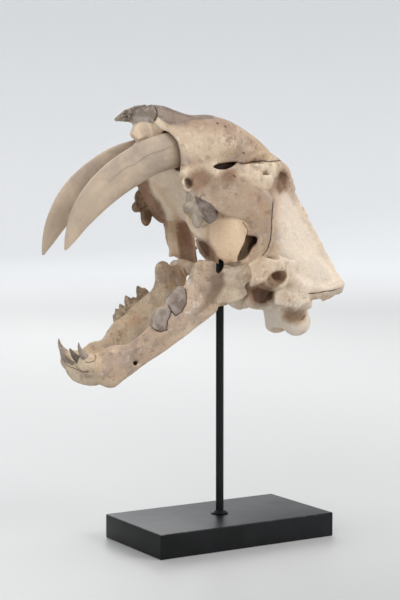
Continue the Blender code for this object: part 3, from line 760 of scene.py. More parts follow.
GREY_NEAR = (
    # crown of the near cheek tooth and the patch above it
    ((184, 197), (190, 193), (197, 196), (203, 199), (212, 204), (217, 209), (219, 214), (214, 221),
     (208, 224), (203, 228), (196, 224), (191, 214), (185, 211), (187, 205), (183, 203)),
    # the muzzle's top
    ((110, 124), (119, 109), (128, 104), (148, 100), (158, 102), (172, 106), (186, 110), (200, 114),
     (213, 115), (214, 118.5), (205, 120), (192, 121), (180, 124), (170, 125), (163, 121),
     (158, 117), (154, 124), (147, 122), (140, 122), (132, 125), (122, 126)),
)
PLASTER_NEAR = (
    ((186, 214), (194, 224), (203, 229), (212, 224), (210, 240), (214, 256), (206, 252), (196, 240),
     (186, 226)),
    ((130, 121), (140, 120), (150, 123), (156, 117), (164, 119), (167, 130), (142, 143), (128, 138)),
    ((176, 165), (188, 167), (197, 172), (197, 188), (186, 188), (180, 178)),
)
# Brown patches: partly real stain, partly painted shade on inner surfaces turned from the lamps
BROWN_NEAR = (
    ((190, 172), (204, 168), (212, 176), (206, 188), (196, 192), (188, 186)),
    ((248, 287), (262, 283), (274, 286), (272, 298), (262, 305), (250, 300)),
    ((226, 168), (236, 170), (236, 180), (226, 184), (218, 178)),
    ((279, 170), (286, 172), (288, 181), (285, 191), (279, 195), (275, 188), (277, 178)),
    ((194, 238), (208, 240), (216, 253), (218, 264), (206, 262), (198, 252)),
)
BROWN_FAR = (
    ((133, 178), (149, 180), (151, 192), (160, 202), (166, 214), (166, 226), (140, 234), (130, 212)),
    ((176, 221), (188, 221), (199, 263), (181, 263)),
)
PLASTER_FAR = (
    ((150, 166), (190, 160), (192, 222), (168, 224), (160, 200), (148, 184)),
    ((168, 222), (175, 222), (180, 262), (168, 262)),
)
PEACH_WALL = ((209, 219), (247, 219), (249, 262), (209, 266))

CRACKS_NEAR = (
    ((237.4, 162.6), (245, 163.6), (252, 162.2), (262, 160.6), (270, 161.6), (281, 160)),
    ((309.8, 293.8), (318, 293), (326, 291.6), (335, 290.4), (343, 288.6)),
    ((243, 152.6), (243.8, 153.2)),
    ((234, 175.6), (234.6, 176.4)),
    ((155, 108), (157.2, 112), (156.4, 117), (154.5, 120)),
    ((217, 123), (218, 123.4)),
    ((225, 126), (225.8, 126.8)),
    ((273.4, 201), (272.6, 210), (272, 220), (271.6, 232), (270.4, 241), (267.4, 250), (262.5, 255.5)),
)
FAINT_NEAR = (
    ((204, 194.6), (201, 195.6), (199.7, 197.4), (199.9, 199.6), (202, 201)),
    ((243, 265), (247, 266), (249, 269)),
    ((243, 222), (248, 230), (245.5, 240), (240, 253)),
)

# Zones of painted light (above 0) and painted shade (below 0), with some of the bone's own paler and duskier
# colour: value, softness and outline
CRANIUM_LIGHT_AND_SHADE = (
    (1.0, 7.0, ((277, 192), (291, 188), (300, 206), (322, 240), (345, 276), (346, 292), (312, 292),
                (296, 284), (286, 262), (274, 257), (276, 230))),
    (-0.45, 2.5, ((207, 226), (213, 219), (217, 222), (213.5, 234), (214, 246), (218, 257), (212, 257),
                  (207, 244))),
    (0.15, 6.0, ((244, 168), (262, 166), (280, 170), (272, 186), (256, 186))),
    (0.6, 4.0, ((272, 288), (309, 287), (312, 306), (270, 308))),
    (1.0, 5.0, ((262, 308), (312, 306), (314, 342), (258, 342))),
    (-1.0, 3.0, ((249, 290), (256, 286), (266, 288), (275, 290), (274, 300), (266, 306), (252, 305))),
    (-0.7, 2.0, ((281, 309), (292, 307), (306, 309), (306, 322), (296, 325), (282, 322))),
    (-0.15, 8.0, ((165, 125), (230, 128), (258, 160), (212, 164), (178, 160))),
    (-0.72, 8.0, ((206, 176), (228, 172), (248, 180), (266, 192), (274, 202), (272, 250), (262, 256),
                  (258, 236), (246, 220), (226, 214), (212, 200))),
    (-0.4, 6.0, ((186, 158), (214, 158), (214, 200), (196, 200), (184, 176))),
    (-0.75, 8.0, ((150, 98), (216, 110), (232, 118), (232, 130), (212, 130), (190, 128), (168, 126))),
    (-0.5, 8.0, ((232, 118), (266, 140), (288, 168), (276, 160), (250, 144), (228, 132))),
)
# Painted light and painted shade on the jaw by zone: value, softness and outline
JAW_LIGHT_AND_SHADE = (
    (-1.0, 4.0, ((212, 276), (222, 274), (224, 284), (219, 295), (207, 309), (197, 314), (205, 300),
                 (212, 290))),
    (-0.45, 6.0, ((199, 268), (222, 266), (226, 284), (212, 300), (198, 296), (197, 280))),
    (-0.25, 8.0, ((150, 336), (176, 322), (190, 322), (160, 348), (130, 370), (110, 384), (84, 376),
                  (120, 366))),
    (0.35, 5.0, ((222, 264), (246, 266), (246, 286), (232, 300), (226, 290))),
)
JAW_GREY = (
    ((175, 283), (183, 285), (186.4, 293), (186, 304), (181.6, 312), (175, 316), (170, 312),
     (163, 308), (162, 298), (169, 290)),
    ((151.5, 316), (156, 309), (165, 307), (170, 310), (172, 316), (167.5, 321), (167, 330),
     (158, 331.5), (152, 328), (150.5, 321)),
)
JAW_CRACKS = (
    ((183, 286), (186, 290), (186.8, 297), (186, 304), (181.8, 312), (175.4, 316), (171.3, 311),
     (168.5, 306)),
    ((171, 312), (167.5, 322), (167, 330), (160, 332), (153, 329)),
)
JAW_FAINT = (
    ((151.5, 316), (150, 322), (151.5, 328)),
    ((94.6, 354), (96.4, 357.4), (94.6, 360.8), (90, 362.6), (85, 362)),
    ((66, 365), (73, 368), (82, 371.5), (88, 372)),
)
JAW_PLASTER = (
    ((128, 348), (150, 334), (166, 326), (160, 344), (140, 352)),
    ((94, 342), (118, 343), (128, 350), (118, 360), (98, 352)),
)
RAMUS_TOP = ((194, 264), (198, 261), (214, 261), (222, 264), (240, 269), (240, 288), (198, 288), (192, 276))
RAMUS_NOTCH = ((214, 255), (225, 255), (224.4, 265), (221.6, 271), (217.6, 274), (214.8, 269))
BEFORE_CORONOID = ((120, 246), (196, 246), (196, 262), (177, 262.5), (172.5, 265.5), (170.4, 265.5),
                   (167.6, 262.4), (163.6, 260.8), (160, 261.4), (157, 263.8), (155.3, 268), (155, 280),
                   (153.5, 287), (150.5, 291.5), (146, 295), (130, 296))
BESIDE_CORONOID = ((171.5, 268), (180, 266.5), (194, 265.5), (194, 275), (184, 277), (174, 275))
CROWN_SLAB = ((178.5, 285.4), (184, 286.4), (186.4, 296), (184, 308), (176, 317), (168, 320),
              (165, 329), (155, 331), (151.2, 327), (151.6, 316.5), (156, 308.6), (163, 306.4),
              (165, 299), (171.5, 291.5))
MENTAL_HOLE = ((133, 361.5), (136, 360.3), (138.4, 362.6), (136, 365.6), (132.8, 364.6))

# Cuts by outlines in pixels, in the order they are made: outline, lowest and
# highest y, the part they may change as low and high (x, z), blend, and
# whether the form is added instead
MUZZLE_CUTS = (
    (BEFORE_MUZZLE, -40, 60, ((-90, -50), (-8, 40)), 1.0, False),
    (WEDGE, -19, 14, ((-64, -38), (-22, 8)), 5.0, True),
)
CRANIUM_CUTS = (
    (UNDER_WING, -60, -12, ((50, -44), (130, 30)), 1.0, False),
    (BEHIND_OCCIPUT, -60, 60, ((185, 0), (250, 114)), 1.0, False),
    (BEHIND_ARCH, -99, -64, ((50, -20), (112, 70)), 1.0, False),
    (ROD_NOTCH, -97, -6, ((70, -44), (140, 20)), 1.0, False),
    (BEFORE_CONDYLE, -60, 60, ((130, -44), (240, 40)), 2.0, False),
    (EYE_SLIT, -85, -24, ((0, 0), (70, 95)), 1.2, False),
    (TEMPLE_HOLE, -85, -36, ((30, 30), (110, 110)), 3.0, False),
    (CHEEK_HOLE, -97, -34, ((30, -44), (140, 40)), 2.5, False),
    (DEEP_HOLE, -97, -14, ((50, -44), (150, 50)), 2.5, False),
    (ROOT_SKIRT, -86, -80, ((80, -50), (170, 50)), 3.0, True),
    (MASTOID_BLOCK, -55, -40, ((130, -20), (220, 60)), 1.5, True),
    (EAR_HOLE, -97, -65, ((90, -30), (180, 60)), 3.0, False),
    (BROWN_SLAB, -24, -6, ((60, -40), (120, 20)), 1.5, True),
    (FAR_GAP, 30, 99, ((70, -30), (150, 40)), 1.0, False),
    (CHEEK_PIT, -85, -44, ((20, -30), (90, 40)), 1.6, False),
    (CONDYLE_OPENINGS[0], -60, -27.5, ((150, -30), (240, 60)), 3.0, False),
    (CONDYLE_OPENINGS[1], -60, -27, ((150, -30), (240, 60)), 3.0, False),
    (LOOP_HOLE, -70, -46, ((0, -30), (26, 2)), 1.0, False),
)
JAW_CUTS = (
    (RAMUS_TOP, -47, -39, ((-80, -20), (10, 46)), 2.5, True),
    (RAMUS_NOTCH, -90, -25, ((-60, -10), (10, 46)), 1.2, False),
    (BEFORE_CORONOID, 22, 60, ((-80, -10), (-10, 46)), 2.0, False),
    (BESIDE_CORONOID, 10, 43, ((-80, -10), (-10, 46)), 2.5, False),
    (CROWN_SLAB, -45.5, -40, ((-115, -20), (-50, 40)), 2.0, True),
    (MENTAL_HOLE, -60, -25, ((-160, -44), (-110, 10)), 0.8, False),
)


# Forms of the two bones

def add_both(field, made, blend, carve=False):
    """Join or carve a form that takes left or right points."""
    act = field.carve if carve else field.join
    for form in made:
        act(*form, blend)


def ball_pair(balls):
    made = []
    for centre, radii, turn in balls:
        made.append(ellipsoid(centre, radii, turn))
        made.append(ellipsoid(mirrored((centre,))[0], radii, turn))
    return made


def ribbon_pair(ribbons):
    made = []
    for points, share in ribbons:
        made.append(ribbon(points, share))
        made.append(ribbon(mirrored(points), share))
    return made


def sabre_path(side):
    """The path of a sabre: the left one is side -1."""
    points = SABRE[0]
    if side < 0:
        return points
    slip = RIGHT_SABRE_SLIP
    return tuple((x + slip[0], -y, z + slip[2], half) for x, y, z, half in points)


def cut_by_outline(field, local, outline, low_y, high_y, box, blend, add):
    """Cut straight in, as the camera looks, inside an outline in pixels, or add there."""
    def distance(x, y, z):
        shape = np.broadcast_shapes(x.shape, y.shape, z.shape)
        points = np.stack([np.broadcast_to(a, shape) for a in (x, y, z)], axis=-1)
        world = local.to_world(points.reshape(-1, 3))
        flat = outline_distance(outline, *pixels_of(world)).reshape(shape)
        return np.maximum(flat, np.maximum(low_y - y, y - high_y))

    low, high = box
    act = field.join if add else field.carve
    act((low[0], low_y, low[1]), (high[0], high_y, high[1]), distance, blend)


def form_cranium():
    # a whole number of steps to either side puts the middle plane on the grid
    half = CRANIUM_HALF_STEPS * CRANIUM_STEP
    field = Field((-82.5, -half, -44.0), (244.0, half - 0.1, 114.0), CRANIUM_STEP)
    fill_core(field)
    add_both(field, ball_pair(CRANIUM_BALLS), blend=7)
    add_both(field, [ellipsoid(*row) for row in CRANIUM_MID_BALLS], blend=8)
    add_both(field, ribbon_pair(CRANIUM_RIBBONS), blend=5)
    field.join(*ribbon(*WING), blend=4)
    field.join(*ribbon(*FAR_ARCH), blend=4)
    add_both(field, [ribbon(*TIP)], blend=5)
    add_both(field, [plate(CREST, 0.0, CREST_HALF)], blend=9)
    add_both(field, [ellipsoid(*row) for row in CHEEK_WALLS], blend=5)
    field.join(*ribbon(*LOOP), blend=1.5)
    add_both(field, ball_pair(CRANIUM_HOLLOWS), blend=4, carve=True)
    add_both(field, [ellipsoid(*row) for row in NASAL_HOLLOWS], blend=4, carve=True)
    for side in (-1, 1):
        path = sabre_path(side)
        field.carve(*under_socket_rim(side), blend=0.8)
        socket = [(x + SOCKET_SHIFT, y, z, half) for x, y, z, half in path[:5]]
        field.carve(*ribbon(socket, SABRE[1], grow=SABRE_GAP, hanging=True), blend=1.6)
    for cut in MUZZLE_CUTS:
        cut_by_outline(field, SKULL, *cut)
    field.join(*ellipsoid(*KNOB), blend=1.0)
    add_both(field, ball_pair((BROW_FILL,)), blend=3)
    for cut in CRANIUM_CUTS:
        cut_by_outline(field, SKULL, *cut)
    return field


def under_socket_rim(side):
    """The air outside and below the rim of a sabre's socket."""
    rim = np.array(SOCKET_LINE)

    def distance(x, y, z):
        below = z - np.interp(x, rim[:, 0], rim[:, 1])
        inner = 25.0 - y * side
        beyond = np.maximum(x - rim[-1, 0], rim[0, 0] - x)
        return np.maximum(np.maximum(below, inner), beyond)

    low = (rim[0, 0], min(25 * side, 60 * side), -40)
    high = (rim[-1, 0], max(25 * side, 60 * side), 2)
    return low, high, distance


def form_jaw():
    field = Field((-196.0, -92.8, -46.0), (22.0, 92.8, 46.0), JAW_STEP)
    add_both(field, ribbon_pair(JAW_RIBBONS), blend=5)
    add_both(field, ribbon_pair((GUM_RIDGE,)), blend=5)
    field.join(*ribbon(*NEAR_FILLS), blend=3)
    add_both(field, ribbon_pair((JAW_ROLLER,)), blend=4)
    add_both(field, [ribbon(*CHIN)], blend=8)
    add_both(field, ball_pair(JAW_BALLS), blend=6)
    add_both(field, ball_pair(JAW_HOLLOWS), blend=5, carve=True)
    for cut in JAW_CUTS:
        cut_by_outline(field, JAW, *cut)
    return field


# Masks on the bones

class Marks:
    """Where masks on a bone's points come from."""

    def __init__(self, field, local, points, normals):
        self.field, self.points, self.normals = field, points, normals
        self.u, self.v = pixels_of(local.to_world(points))
        self.facing = smoothstep(0.02, 0.25, normals @ local.turn.T @ VIEW_BACK)
        self.near = smoothstep(4.0, -6.0, points[:, 1])
        fold = np.where(points[:, 1] > 0, -1.0, 1.0)[:, None] * np.array((0.0, 1.0, 0.0)) + (1.0, 0.0, 1.0)
        self.fold_u, self.fold_v = pixels_of(local.to_world(points * fold))
        self.fold_facing = smoothstep(-0.1, 0.2, (normals * fold) @ local.turn.T @ VIEW_BACK)

    def outlines(self, shapes, soft=1.5, side="near"):
        """1 inside the outlines, on the side that they belong to."""
        total = np.zeros(len(self.points))
        for shape in shapes:
            total = np.maximum(total, smoothstep(soft, -soft, outline_distance(shape, self.u, self.v)))
        keep = {"near": self.near, "far": 1 - self.near, "any": 1.0}[side]
        return total * self.facing * keep

    def painted_zones(self, rows):
        """Sum of soft zones of painted light and painted shade, laid on both sides alike."""
        total = np.zeros(len(self.points))
        for value, soft, shape in rows:
            inside = smoothstep(soft, -soft, outline_distance(shape, self.fold_u, self.fold_v))
            total += value * inside * self.fold_facing
        return np.clip(total, -1, 1)

    def lines(self, lines, faint=(), reach=CRACK_REACH):
        """Distance to the lines as a share of a reach in pixels, and the same with its side.

        Faint lines count as twice as far off, which makes them half as wide.
        """
        best = np.full(len(self.points), reach)
        sided = np.full(len(self.points), reach)
        for line in (*lines, *faint):
            away, side = line_distance(line, self.u, self.v)
            away = away * (2.0 if line in faint else 1.0)
            closer = away < best
            best = np.where(closer, away, best)
            sided = np.where(closer, away * side, sided)
        hidden = (self.facing * self.near) < 0.5
        return np.where(hidden, reach, best) / reach, np.where(hidden, reach, sided) / reach

    def shelter(self, reaches=(4.0, 9.0, 18.0)):
        """How closed in a place is: 0 in the open, 1 in a deep hollow."""
        total = 0.0
        for reach in reaches:
            open_here = self.field.sample(self.points + reach * self.normals)
            total = total + np.clip(1 - open_here / (0.85 * reach), 0, 1.4)
        return np.clip(total / len(reaches), 0, 1)

    def roundness(self):
        """Edges above 0.5, creases below."""
        reach = 3.0
        outer = self.field.sample(self.points + reach * self.normals)
        inner = self.field.sample(self.points - reach * self.normals)
        return np.clip(0.5 + (outer + inner) / reach * 0.5, 0, 1)


def ball_mask(points, balls):
    total = np.zeros(len(points))
    for centre, radius, soft in balls:
        away = np.linalg.norm(points - np.array(centre), axis=1)
        total = np.maximum(total, smoothstep(radius + soft, radius - soft, away))
    return total


def cranium_masks(marks, points, normals):
    """Where the cranium's colours, pores and hollows lie, and how far off its cracks are."""
    outer = smoothstep(-36, -42, points[:, 1])
    grey = np.maximum(marks.outlines(GREY_NEAR[:1]) * outer, marks.outlines(GREY_NEAR[1:], 3.5, "any"))
    plaster = np.maximum(marks.outlines(PLASTER_NEAR, 3.0), marks.outlines(PLASTER_FAR, 3.0, "far"))
    plaster = np.maximum(plaster, ball_mask(points, PLASTER_BALLS))
    peach = marks.outlines((PEACH_WALL,), 2.0, "any") * smoothstep(-52, -44, points[:, 1])
    peach *= smoothstep(10, -2, points[:, 1])
    # brown: real stains, and painted shade on inner surfaces and in the ear and temple holes
    brown = np.maximum(marks.outlines(BROWN_NEAR, 4.0), marks.outlines(BROWN_FAR, 3.0, "far"))
    brown = np.maximum(brown, marks.outlines((EAR_HOLE, TEMPLE_HOLE), 1.5))
    brown = np.maximum(brown, 0.9 * marks.outlines((CONDYLE_STAIN,), 4.0))

    # painted light: the underside of the bone is painted paler where it faces away from the lamps; painted
    # shade stays off the peach plaster and painted light off the brown stains
    under = smoothstep(0.2, 0.8, -normals[:, 2]) * smoothstep(46, 34, np.abs(points[:, 1]))
    tone = marks.painted_zones(CRANIUM_LIGHT_AND_SHADE) + 0.6 * under
    tone = np.where(tone < 0, tone * (1 - peach), tone * (1 - brown))

    # painted shade by how closed in a place is, eased on the floors of the ear and temple holes and in the
    # condyle's openings
    inside = np.maximum(marks.outlines((EAR_FLOOR, TEMPLE_HOLE), 2.0), marks.outlines(CONDYLE_OPENINGS, 3.0))
    shelter = np.minimum(marks.shelter(), 1 - 0.45 * inside)
    # painted shade: the dark places are painted nearly black
    shelter = np.maximum(shelter, 0.91 * marks.outlines(PAINTED_DARK_PLACES, 1.5))
    # painted shade: a dark ring round each sabre where it sits in its socket
    for side in (-1, 1):
        socket = [(x + SOCKET_SHIFT, y, z, half) for x, y, z, half in sabre_path(side)[:6]]
        away = ribbon(socket, SABRE[1], hanging=True)[2](*points.T)
        shelter = np.maximum(shelter, smoothstep(SABRE_GAP + 2.4, SABRE_GAP - 0.2, away))

    char = np.maximum(marks.outlines((MUZZLE_CHAR,), 2.5), 0.6 * marks.outlines((MUZZLE_TOP,), 2.0, "any"))
    porous = np.maximum(ball_mask(points, POROUS_BALLS), marks.outlines((BLOCK_PORES, MUZZLE_CHAR), 1.5))
    crack, crack_side = marks.lines(CRACKS_NEAR, FAINT_NEAR)
    return {"grey": grey, "plaster": plaster, "brown": brown, "peach": peach, "crack": crack,
            "crack_side": crack_side, "tone": tone, "shelter": shelter, "porous": porous, "char": char,
            "roundness": marks.roundness()}


def cranium_relief(points, masks):
    """How far out the cranium's points move: cracks, dents, plaster ribs and pores."""
    rough, fine = Noise(3), Noise(8)
    depth = -CRACK_DEPTH * np.exp(-(CRACK_REACH * masks["crack"]) ** 2)
    depth += UNEVEN * rough.layers(points, 14.0, 3) * (1 - 0.7 * masks["peach"])
    ribs = fine.at(points * RIB_STRETCH, 3.2)
    depth += masks["plaster"] * (1 - masks["grey"]) * (0.3 * fine.at(points, 5.0) + 0.45 * ribs)
    depth += 0.7 * masks["grey"]
    depth -= 1.6 * masks["porous"] * smoothstep(0.25, 0.55, fine.at(points, 3.6))
    crest = smoothstep(96, 101, points[:, 2]) * smoothstep(60, 80, points[:, 0])
    return depth + 0.8 * crest * fine.at(points, 4.5)


def finish_cranium():
    field = form_cranium()
    points, quads, normals = skin(field, 2)
    masks = cranium_masks(Marks(field, SKULL, points, normals), points, normals)
    points = points + cranium_relief(points, masks)[:, None] * normals
    return add_mesh("cranium_bone", SKULL.to_world(points), quads, masks)


def finish_jaw():
    field = form_jaw()
    points, quads, normals = skin(field, 2)
    marks = Marks(field, JAW, points, normals)
    rough = Noise(5)
    fine = Noise(9)
    plaster = 0.45 * marks.outlines(JAW_PLASTER, 7.0)
    grey = marks.outlines(JAW_GREY)
    crack, crack_side = marks.lines(JAW_CRACKS, JAW_FAINT)
    # painted light and painted shade by zone, kept as "tone"
    tone = marks.painted_zones(JAW_LIGHT_AND_SHADE)
    # painted shade in the jaw's hollows, by how closed in they are
    shelter = marks.shelter()
    porous = ball_mask(points, JAW_POROUS_BALLS)
    depth = -CRACK_DEPTH * np.exp(-(CRACK_REACH * crack) ** 2) + 0.4 * grey
    depth += UNEVEN * rough.layers(points, 13.0, 3)
    depth -= 1.2 * porous * smoothstep(0.3, 0.6, fine.at(points, 3.4))
    points = points + depth[:, None] * normals
    # painted shade: the mental hole is painted dark
    shelter = np.maximum(shelter, marks.outlines((MENTAL_HOLE,), 0.7))
    masks = {"grey": grey, "plaster": plaster, "brown": 0.2 * plaster,
             "peach": np.zeros(len(points)), "crack": crack, "crack_side": crack_side,
             "tone": tone, "shelter": shelter,
             "porous": porous, "char": np.zeros(len(points)), "roundness": marks.roundness()}
    return add_mesh("mandible_bone", JAW.to_world(points), quads, masks)


# Cheek teeth: cusps and foot as (x, z, radius), y, half width, and lobes as
# centre, radii and turn, given on the right

UPPER_BLADE = {"cusps": ((24, -25, 2.6), (32, -34, 2.0)),
               "foot": ((20, -14, 5.0), (32, -15, 6.5), (46, -15, 6.0)), "y": 51.0,
               "half": 4.0,
               "lobes": (((24, 51.5, -21), (6.5, 3.4, 5.2), 36), ((29.5, 51.5, -30), (5.2, 3.0, 4.4), 36),
                         ((43.5, 51, -25.5), (11, 3.6, 6.4), 36), ((45, 51.5, -9.5), (9, 3.6, 5.6), 30),
                         ((30.5, 51.5, -15.5), (6.5, 3.4, 5), 30))}
UPPER_SMALL = {"cusps": ((5, -13, 2.4), (11.5, -19, 2.2), (16, -14, 2.0)),
               "foot": ((5, -9, 4.0), (11, -10, 5.0), (16, -9, 3.5)), "y": 49.0, "half": 3.5}
LOWER_BLADE = {"cusps": ((-83, 20.5, 1.1), (-76.5, 15.0, 1.5), (-66.5, 22.5, 1.1), (-61, 17.0, 1.4)),
               "foot": ((-85, 3, 4.0), (-77, 4, 6.5), (-67, 5, 7.0), (-61, 4, 4.0)), "y": 40.0,
               "half": 3.5}
LOWER_SMALL = {"cusps": ((-105.5, 11.0, 1.0), (-100, 15.5, 1.1), (-93.5, 17, 1.1), (-89.5, 11.0, 1.0)),
               "foot": ((-105, 1, 4.0), (-98, 2, 6.0), (-91, 2, 4.5)), "y": 37.5, "half": 3.3}


def finish_cheek_tooth(name, shape, side, local):
    """A cutting tooth: its cusps rise from a common foot."""
    cusps = np.array(shape["cusps"], float)
    foot = np.array(shape["foot"], float)
    y = shape["y"] * side
    upward = 1.0 if cusps[0, 1] > foot[0, 1] else -1.0
    both = np.vstack((cusps[:, :2], foot[:, :2]))
    low, high = both.min(0), both.max(0)
    field = Field((low[0] - 9, y - 9, low[1] - 12), (high[0] + 9, y + 9, high[1] + 12), TOOTH_STEP)
    share = shape["half"] / foot[:, 2].max()
    body = [(x, y, z, radius) for x, z, radius in foot]
    field.join(*ribbon(body, share), blend=1.0)
    for x, z, radius in cusps:
        base = np.array((np.clip(x, foot[0, 0] + 2, foot[-1, 0] - 2), z - upward * 11.0))
        path = ((base[0], y, base[1], 5.2), ((x + base[0]) / 2, y, (z + base[1]) / 2, 2.6 + radius),
                (x, y, z - upward * radius, radius))
        field.join(*ribbon(path, 0.62, hanging=True), blend=2.5)
    for centre, radii, turn in shape.get("lobes", ()):
        field.join(*ellipsoid((centre[0], centre[1] * side, centre[2]), radii, turn), blend=2.5)
    points, quads, normals = skin(field, 1)
    grain = Noise(21)
    stretched = points * np.array((1.0, 1.0, 0.25))
    points = points + (0.08 * grain.at(stretched, 2.0) + 0.3 * grain.at(points, 6.0))[:, None] * normals
    return add_mesh(name, local.to_world(points), quads)


# Sabres and front teeth: swept by Geometry Nodes

LOWER_CANINE = ((-170, -19, -4, 4.2), (-173.5, -20, 5, 4.6), (-176.2, -21, 13, 3.3),
                (-176.6, -21.3, 20, 1.9), (-174.6, -21.4, 26, 0.4))
INCISORS = (
    ((-176, -13.5, 0, 3.2), (-178.8, -13.2, 7, 3.9), (-181, -12.4, 14, 2.9), (-181.6, -11.5, 22.5, 0.6)),
    ((-180, -5.4, 0, 2.2), (-184, -5.4, 7, 2.4), (-187, -5.0, 14, 1.8), (-187.6, -4.8, 21, 0.4)),
    ((-180, 2.4, 0, 2.2), (-184, 2.4, 7, 2.4), (-186.5, 2.6, 13, 1.8), (-186.8, 3, 19.5, 0.4)),
    ((-178, 10, 0, 2.4), (-181, 10, 8, 2.5), (-182.6, 10, 15, 1.9), (-182.6, 10, 21, 0.4)),
)


def tooth_tree():
    """Sweep a flattened ring along a curve, with lengthwise grooves."""
    tree, w, given, out = new_tree("swept tooth", (
        ("Path", "Geometry", None), ("Thickness Share", "Float", 0.56), ("Groove Depth", "Float", 0.0003),
        ("Grooves", "Float", 9.0), ("Rings", "Int", 120), ("Sides", "Int", 64), ("Seed", "Int", 4),
        ("Finish", "Material", None),
    ), (("Tooth", "Geometry"),), "GeometryNodeTree")

    def stored(word, curve):
        """Keep how far along a curve its points lie."""
        factor = w.add("GeometryNodeSplineParameter").outputs["Factor"]
        kept = w.add("GeometryNodeStoreNamedAttribute", {"data_type": "FLOAT", "domain": "POINT"},
                     Geometry=curve, Name=word, Value=factor)
        return kept.outputs["Geometry"]

    def recalled(word):
        kept = w.add("GeometryNodeInputNamedAttribute", {"data_type": "FLOAT"}, Name=word)
        return kept.outputs["Attribute"]

    path = w.add("GeometryNodeResampleCurve", Curve=given["Path"], Count=given["Rings"])
    path = w.add("GeometryNodeSetCurveNormal", {"mode": "Z_UP"}, Curve=path.outputs["Curve"])
    ring = w.add("GeometryNodeCurvePrimitiveCircle", Radius=1.0, Resolution=given["Sides"])
    stretch = w.add("ShaderNodeCombineXYZ", X=given["Thickness Share"], Y=1.0, Z=1.0)
    ring = w.add("GeometryNodeTransform", Geometry=ring.outputs["Curve"],
                 Scale=stretch.outputs["Vector"])
    sweep = w.add("GeometryNodeCurveToMesh", Curve=stored("along", path.outputs["Curve"]),
                  Profile_Curve=stored("around", ring.outputs["Geometry"]), Fill_Caps=True,
                  Scale=w.add("GeometryNodeInputRadius").outputs["Radius"])

    turn = w.times(recalled("around"), 2 * math.pi)
    place = w.add("ShaderNodeCombineXYZ", X=w.math("SINE", turn), Y=w.math("COSINE", turn),
                  Z=recalled("along"))
    noise = w.add("ShaderNodeTexNoise", {"noise_dimensions": "4D"}, Vector=place.outputs["Vector"],
                  Scale=given["Grooves"], W=given["Seed"], Detail=3.0).outputs["Fac"]
    depth = w.times(w.less(noise, 0.5), given["Groove Depth"])
    normal = w.add("GeometryNodeInputNormal").outputs["Normal"]
    offset = w.add("ShaderNodeVectorMath", {"operation": "SCALE"}, i0=normal, Scale=depth).outputs["Vector"]
    move = w.add("GeometryNodeSetPosition", Geometry=sweep.outputs["Mesh"], Offset=offset)
    real = w.add("GeometryNodeRealizeInstances", Geometry=move.outputs["Geometry"])
    paint = w.add("GeometryNodeSetMaterial", Geometry=real.outputs["Geometry"],
                  Material=given["Finish"])
    w.set(out, "Tooth", paint.outputs["Geometry"])
    return tree


def set_input(modifier, word, value):
    """Set a tree's input by its identifier."""
    for item in modifier.node_group.interface.items_tree:
        if item.item_type == "SOCKET" and item.in_out == "INPUT" and item.name == word:
            modifier[item.identifier] = value


def finish_swept_tooth(name, path, local, tree, finish, **values):
    """Sweep a tooth along a path of (x, y, z, half width)."""
    rows = spline(path, 1.5)
    curve = bpy.data.curves.new(name, "CURVE")
    curve.dimensions = "3D"
    line = curve.splines.new("POLY")
    line.points.add(len(rows) - 1)
    for point, place, half in zip(line.points, local.to_world(rows[:, :3]), rows[:, 3]):
        point.co = (*place, 1.0)
        point.radius = half * MM
    maker = put(name + "_path", curve)
    modifier = maker.modifiers.new("sweep", "NODES")
    modifier.node_group = tree
    for word, value in values.items():
        set_input(modifier, word.replace("_", " "), value)
    set_input(modifier, "Finish", finish)
    bpy.context.view_layer.update()
    mesh = bpy.data.meshes.new_from_object(maker.evaluated_get(bpy.context.evaluated_depsgraph_get()))
    bpy.data.objects.remove(maker, do_unlink=True)
    bm = bmesh.new()
    bm.from_mesh(mesh)
    bmesh.ops.remove_doubles(bm, verts=bm.verts, dist=0.00002)
    bmesh.ops.recalc_face_normals(bm, faces=bm.faces)
    if bm.calc_volume(signed=True) < 0:
        bmesh.ops.reverse_faces(bm, faces=bm.faces)
    bm.to_mesh(mesh)
    bm.free()
    mesh.name = name
    mesh.shade_smooth()
    return put(name, mesh)


# Materials

def linear(red, green, blue):
    """A colour as seen, 0 to 255, in Blender's linear values."""
    made = []
    for part in (red, green, blue):
        share = part / 255
        made.append(share / 12.92 if share <= 0.04045 else ((share + 0.055) / 1.055) ** 2.4)
    return (*made, 1.0)


